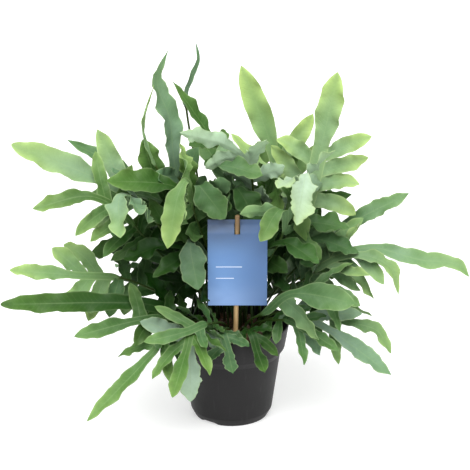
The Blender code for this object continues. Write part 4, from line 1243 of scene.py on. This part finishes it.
def make_frond(frond, feet, room, material):
    """The fine frond, with what its material reads on each corner."""
    node = f"frond_{frond.name}"
    corners = Corners(node)
    growth = growth_of(frond, feet, corners)
    surface = growth.fine_surface(bends_of(growth, corners))
    growth.add_more(surface, room)
    vertices, faces, spots, under = surface.thick()
    piece = new_piece(f"leaf_{frond.name}", vertices, faces.tolist(), material, [node], 60)
    values = np.array(surface.spots)[spots.reshape(-1)]
    layers = (
        ("leaf_place", "FLOAT_VECTOR", "vector", values[:, 0:3]),
        ("leaf_share", "FLOAT", "value", values[:, 3]),
        ("leaf_tone", "FLOAT_VECTOR", "vector", values[:, 4:7]),
        ("leaf_under", "FLOAT", "value", np.repeat(under, 3)),
    )
    for name, kind, field, data in layers:
        layer = piece.data.attributes.new(name, kind, "CORNER")
        layer.data.foreach_set(field, np.ascontiguousarray(data, np.float32).reshape(-1))
    return growth


def ring_faces(rings, sides, first=0):
    """Faces between rings of vertices, each ring numbered on from the one before."""
    faces = []
    for ring in range(rings - 1):
        for k in range(sides):
            a, b = first + ring * sides + k, first + ring * sides + (k + 1) % sides
            faces.append((a, b, b + sides, a + sides))
    return faces


def lathe(profile, sectors, moved):
    """(vertices, faces) of a body turned from a profile from axis to axis, its points then moved."""
    vertices = [Vector((0, 0, profile[0][1]))]
    for r, z in profile[1:-1]:
        for k in range(sectors):
            angle = 2 * math.pi * k / sectors
            point = Vector((r * math.cos(angle), r * math.sin(angle), z))
            vertices.append(moved(point, math.degrees(angle)))
    vertices.append(Vector((0, 0, profile[-1][1])))
    rings = len(profile) - 2
    last, top = len(vertices) - 1, 1 + (rings - 1) * sectors
    faces = [(0, 1 + (k + 1) % sectors, 1 + k) for k in range(sectors)]
    faces += ring_faces(rings, sectors, 1)
    faces += [(top + k, top + (k + 1) % sectors, last) for k in range(sectors)]
    return vertices, faces


def rounded(points, radius, steps=3):
    """The profile with each inner corner rounded off."""
    out = [points[0]]
    for a, b, c in zip(points, points[1:], points[2:]):
        b, back, ahead = Vector(b), Vector(a) - Vector(b), Vector(c) - Vector(b)
        reach = min(radius, back.length / 2.5, ahead.length / 2.5)
        start, end = b + back.normalized() * reach, b + ahead.normalized() * reach
        for k in range(steps + 1):
            t = k / steps
            out.append(tuple(start * (1 - t) ** 2 + b * 2 * t * (1 - t) + end * t**2))
    out.append(points[-1])
    return out


def foot_gap(point, angle):
    """Lifts the underside's outer edge at the gaps between the pot's feet."""
    if point.z > FOOT_GAP_HEIGHT or point.xy.length < POT_FLAT_RADIUS + 1:
        return point
    away = abs((angle - FOOT_GAP_MIDDLE + 180 / FEET) % (360 / FEET) - 180 / FEET)
    open_share = 1 - smooth((away - FOOT_GAP_HALF) / FOOT_GAP_RAMP)
    point.z += (FOOT_GAP_HEIGHT - point.z) * open_share
    return point


def make_pot():
    """The smooth pot, with a rounded lip and rounded steps under its rim."""
    wall = [(0, 0), (POT_FLAT_RADIUS, 0), *POT_OUTSIDE, *reversed(POT_INSIDE), (0, POT_INSIDE[0][1])]
    vertices, faces = lathe(rounded(wall, LIP_ROUND), POT_SECTORS, foot_gap)
    new_piece("pot_shell", vertices, faces, pot_look(), ["pot"], 50)


def pot_inside(z):
    """The pot's inner radius at a height."""
    for (r0, z0), (r1, z1) in zip(POT_INSIDE, POT_INSIDE[1:]):
        if z <= z1:
            return r0 + (r1 - r0) * (z - z0) / (z1 - z0)


def soil_height(inward):
    """The soil's height at a distance in from its edge."""
    return SOIL_EDGE + (SOIL_TOP - SOIL_EDGE) * smooth(inward / SOIL_SLOPE_WIDTH)


def lumpy(point, _):
    """Soil surface: clods and crumbs on top, the pot's own form at the sides."""
    if point.z >= SOIL_EDGE - 1:
        clod = sum(noise.noise(point * scale) * height for scale, height in CLODS)
        point.z += min(clod, CLOD_TOP)
    return point


def make_soil():
    """The root ball with a crumbly top, and loose crumbs on it."""
    side = [(r - SEAT_GAP, z + SEAT_GAP) for r, z in POT_INSIDE[:-1]]
    edge = pot_inside(SOIL_EDGE) - SEAT_GAP
    top = [(edge * (1 - k / SOIL_RINGS), soil_height(k * edge / SOIL_RINGS)) for k in range(SOIL_RINGS)]
    vertices, faces = lathe([(0, side[0][1]), *side, *top, (0, SOIL_TOP)], SOIL_SECTORS, lumpy)
    material = soil_look()
    new_piece("soil_ball", vertices, faces, material, ["soil"], 80)
    draw = random.Random(5)
    points, triangles = [], []
    for _ in range(CRUMBS):
        angle, radius = draw.uniform(0, 2 * math.pi), CRUMB_REACH * math.sqrt(draw.uniform(0.02, 1))
        height = soil_height(edge - radius) + CRUMB_RISE
        centre = Vector((radius * math.cos(angle), radius * math.sin(angle), height))
        add_crumb(points, triangles, centre, draw.uniform(*CRUMB_SIZES), draw)
    new_piece("soil_crumbs", points, triangles, material, (), 30)


def add_solid(points, triangles, corners, faces):
    """Adds a small closed solid to the points and triangles of many."""
    first = len(points)
    points += corners
    triangles += [tuple(first + k for k in face) for face in faces]


def add_crumb(points, triangles, centre, size, draw):
    """An uneven eight-sided lump."""
    corners = []
    for axis in (0, 1, 2):
        for sign in (1, -1):
            offset = Vector([draw.uniform(-most, most) for most in (0.3, 0.3, 0.2)])
            offset[axis] += sign * draw.uniform(0.7, 1.2)
            corners.append(centre + offset * size)
    add_solid(points, triangles, corners, CRUMB_FACES)


def make_rhizome(line, feet):
    """The creeping stem, its leaf bases and the golden scales that clothe it."""
    vertices = []
    for k in range(RHIZOME_SECTIONS + 1):
        s = line.length * k / RHIZOME_SECTIONS
        centre, way = line.at(s), line.heading(s)
        right = way.cross(UP)
        end = min(s, line.length - s) / RHIZOME_RADIUS
        radius = RHIZOME_RADIUS * math.sqrt(max(LEAST_ROUND, 1 - max(0.0, 1 - end) ** 2))
        for j in range(RHIZOME_SIDES):
            angle = 2 * math.pi * j / RHIZOME_SIDES
            out = right * math.cos(angle) + UP * math.sin(angle)
            lump = 1 + KNOB_HEIGHT * noise.noise((centre + out * KNOB_SPREAD) * KNOB_SCALE) - KNOB_LESS
            point = centre + out * radius * lump
            point.z = max(point.z, SOIL_TOP - 1)
            vertices.append(point)
    last = RHIZOME_SECTIONS * RHIZOME_SIDES
    faces = [tuple(range(RHIZOME_SIDES)), tuple(reversed(range(last, last + RHIZOME_SIDES)))]
    faces += [(b, a, d, c) for a, b, c, d in ring_faces(RHIZOME_SECTIONS + 1, RHIZOME_SIDES)]
    bark = rhizome_look("rhizome_skin", *SKIN_COLOURS_SHADED)
    new_piece("rhizome_stem", vertices, faces, bark, ["rhizome"], 60)
    points, triangles = [], []
    draw = random.Random(8)
    for _ in range(SCALES):
        add_scale(points, triangles, line, draw)
    for foot in feet:
        for k in range(BASE_SCALES):
            add_base_scale(points, triangles, foot, 2 * math.pi * k / BASE_SCALES, draw)
    gold = rhizome_look("rhizome_scales", *SCALE_COLOURS_SHADED)
    new_piece("rhizome_fur", points, triangles, gold, (), 30)


def add_blade(points, triangles, root, tip, wide, normal):
    """A small closed pointed blade, flat on its underside."""
    middle = root.lerp(tip, 0.35)
    aside = (tip - root).cross(normal).normalized() * wide
    corners = [root, middle + aside, middle - aside, tip, middle + normal * wide * 0.5]
    add_solid(points, triangles, corners, BLADE_FACES)


def add_scale(points, triangles, line, draw):
    """A scale on the rhizome's skin that points forwards and stands off a little."""
    s = draw.uniform(1.0, line.length - 1.0)
    centre, way = line.at(s), line.heading(s)
    angle = math.radians(draw.uniform(*SCALE_ARC))
    out = way.cross(UP) * math.cos(angle) + UP * math.sin(angle)
    root = centre + out * RHIZOME_RADIUS * SCALE_SEAT
    heading = way + way.cross(out) * draw.uniform(*SCALE_ASIDE) + out * draw.uniform(*SCALE_OFF)
    tip = root + heading.normalized() * draw.uniform(*SCALE_LENGTHS)
    add_blade(points, triangles, root, tip, draw.uniform(*SCALE_WIDTHS), out)


def add_base_scale(points, triangles, foot, angle, draw):
    """A scale that leans against the base of a stipe."""
    out = Vector((math.cos(angle), math.sin(angle), 0))
    root = Vector((foot.x, foot.y, RHIZOME_MIDDLE + RHIZOME_RADIUS - 1.0)) + out * BASE_RADIUS
    tip = root + UP * draw.uniform(*BASE_LENGTHS) - out * draw.uniform(*BASE_LEANS)
    add_blade(points, triangles, root, tip, draw.uniform(*BASE_WIDTHS), out)


def make_stick():
    """The bamboo stick, with chamfered ends."""
    length = (STICK_TOP - STICK_FOOT).length
    way = (STICK_TOP - STICK_FOOT).normalized()
    right = way.cross(Vector((0, 1, 0))).normalized()
    front = way.cross(right)
    stations = [(0.0, 0.8), (0.6, 1.0)]
    stations += [(length * k / STICK_PARTS, 1.0) for k in range(1, STICK_PARTS)]
    stations += [(length - 0.7, 1.0), (length, 0.72)]
    vertices = []
    for s, share in stations:
        for k in range(STICK_SIDES):
            angle = 2 * math.pi * k / STICK_SIDES
            out = right * math.cos(angle) + front * math.sin(angle)
            dent = 1 - STICK_DENTS * max(0.0, noise.noise(Vector((k * 0.6, s * 0.03, 4.0))))
            vertices.append(STICK_FOOT + way * s + out * STICK_RADIUS * share * dent)
    last = len(vertices) - STICK_SIDES
    faces = [tuple(reversed(range(STICK_SIDES))), tuple(range(last, last + STICK_SIDES))]
    faces += ring_faces(len(stations), STICK_SIDES)
    new_piece("stick_bamboo", vertices, faces, stick_look(), ["label_stick"], 40)


def card_depth(z):
    """The card's place along Y at a height: before the stick below its slot, behind it above."""
    bend = 2 * smooth((z - SLOT_LOW) / (SLOT_HIGH - SLOT_LOW)) - 1
    return STICK_FOOT.y + CARD_OFFSET * bend


def stretches(marks, parts):
    """The marks with each step between them cut into its own number of equal parts."""
    out = [marks[0]]
    for a, b, count in zip(marks, marks[1:], parts):
        out += refined([a, b], count)[1:]
    return out


def make_card():
    """The card, its slot's lips bent smoothly round the stick."""
    share = ((SLOT_LOW + SLOT_HIGH) / 2 - STICK_FOOT.z) / (STICK_TOP.z - STICK_FOOT.z)
    slot = STICK_FOOT.lerp(STICK_TOP, share).x
    sides = (CARD_LEFT, slot - SLOT_HALF, slot + SLOT_HALF, CARD_LEFT + CARD_WIDTH)
    columns = stretches(sides, CARD_COLUMNS)
    rows = stretches((CARD_LOW, SLOT_LOW, SLOT_HIGH, CARD_HIGH), CARD_ROWS)
    surface = Surface()
    spot = surface.spot(0.0)
    grid = []
    for z in rows:
        slope = card_depth(z + 0.5) - card_depth(z - 0.5)
        normal = Vector((0, -1, slope)).normalized()
        grid.append([surface.add(Vector((x, card_depth(z), z)), normal, CARD_THICK / 2) for x in columns])
    for low, high, z in zip(grid, grid[1:], rows):
        for j, x in enumerate(columns[:-1]):
            if SLOT_LOW <= z < SLOT_HIGH and abs(x + 0.1 - slot) < SLOT_HALF:
                continue
            surface.lay([low[j : j + 2], high[j : j + 2]], [[spot, spot], [spot, spot]])
    vertices, faces, _, _ = surface.thick()
    new_piece("card_sheet", vertices, faces.tolist(), card_look(), ["label_card"], 50)


def aimed(name, data, back):
    """A new camera or light of the scene that looks against a direction."""
    holder = bpy.data.objects.new(name, data)
    holder.rotation_euler = (-back).to_track_quat("-Z", "Y").to_euler()
    bpy.context.scene.collection.objects.link(holder)
    return holder


def make_camera():
    """The camera at the photograph's angle."""
    camera = bpy.data.cameras.new("camera")
    camera.sensor_width = SENSOR
    camera.lens = SENSOR / 2 * CAMERA_DISTANCE / SEEN_HALF_WIDTH
    back = Vector((0, -math.cos(CAMERA_PITCH), math.sin(CAMERA_PITCH)))
    holder = aimed("camera", camera, back)
    holder.location = AIM + back * CAMERA_DISTANCE
    bpy.context.scene.camera = holder


def make_studio():
    """A pale floor, a white surround and wide soft lights: above, in front, and behind for the glow."""
    mesh = bpy.data.meshes.new("floor")
    corners = [(x * FLOOR_FAR, y * FLOOR_FAR, 0) for x, y in ((-1, -1), (1, -1), (1, 1), (-1, 1))]
    mesh.from_pydata(corners, [], [(0, 1, 2, 3)])
    look = Look("floor_white", 0.9)
    look.set(Base_Color=FLOOR_PALE, Specular_IOR_Level=0.1)
    look.set(Emission_Color=WHITE, Emission_Strength=FLOOR_GLOW)
    mesh.materials.append(look.material)
    floor = bpy.data.objects.new("floor", mesh)
    bpy.context.scene.collection.objects.link(floor)
    world = bpy.data.worlds.new("studio")
    world.use_nodes = True
    surround = world.node_tree.nodes["Background"].inputs
    surround["Color"].default_value = WHITE
    surround["Strength"].default_value = SURROUND
    bpy.context.scene.world = world
    for name, towards, strength, spread in SUNS:
        light = bpy.data.lights.new(name, "SUN")
        light.energy = strength
        light.angle = math.radians(spread)
        aimed(name, light, Vector(towards))
    bpy.context.scene.view_settings.view_transform = "Standard"


def main():
    make_camera()
    make_studio()
    line = rhizome_line()
    feet = sockets(line)
    looks = {"leaf": leaf_look("leaf_grown"), "young_leaf": leaf_look("leaf_young")}
    slots = {part["node"]: part["material_slot"] for part in frame["record"]["subparts"]}
    used = []
    room = Room()
    for view in card_views():
        room.add("view", *view)
    for frond in sum((ring_of_fronds(*ring) for ring in RINGS), listed_fronds()):
        slot = slots[f"frond_{frond.name}"]
        growth = make_frond(frond, feet, room, looks[slot])
        used.append(growth.path.at(0.0))
    make_pot()
    make_soil()
    make_rhizome(line, used)
    make_stick()
    make_card()


main()
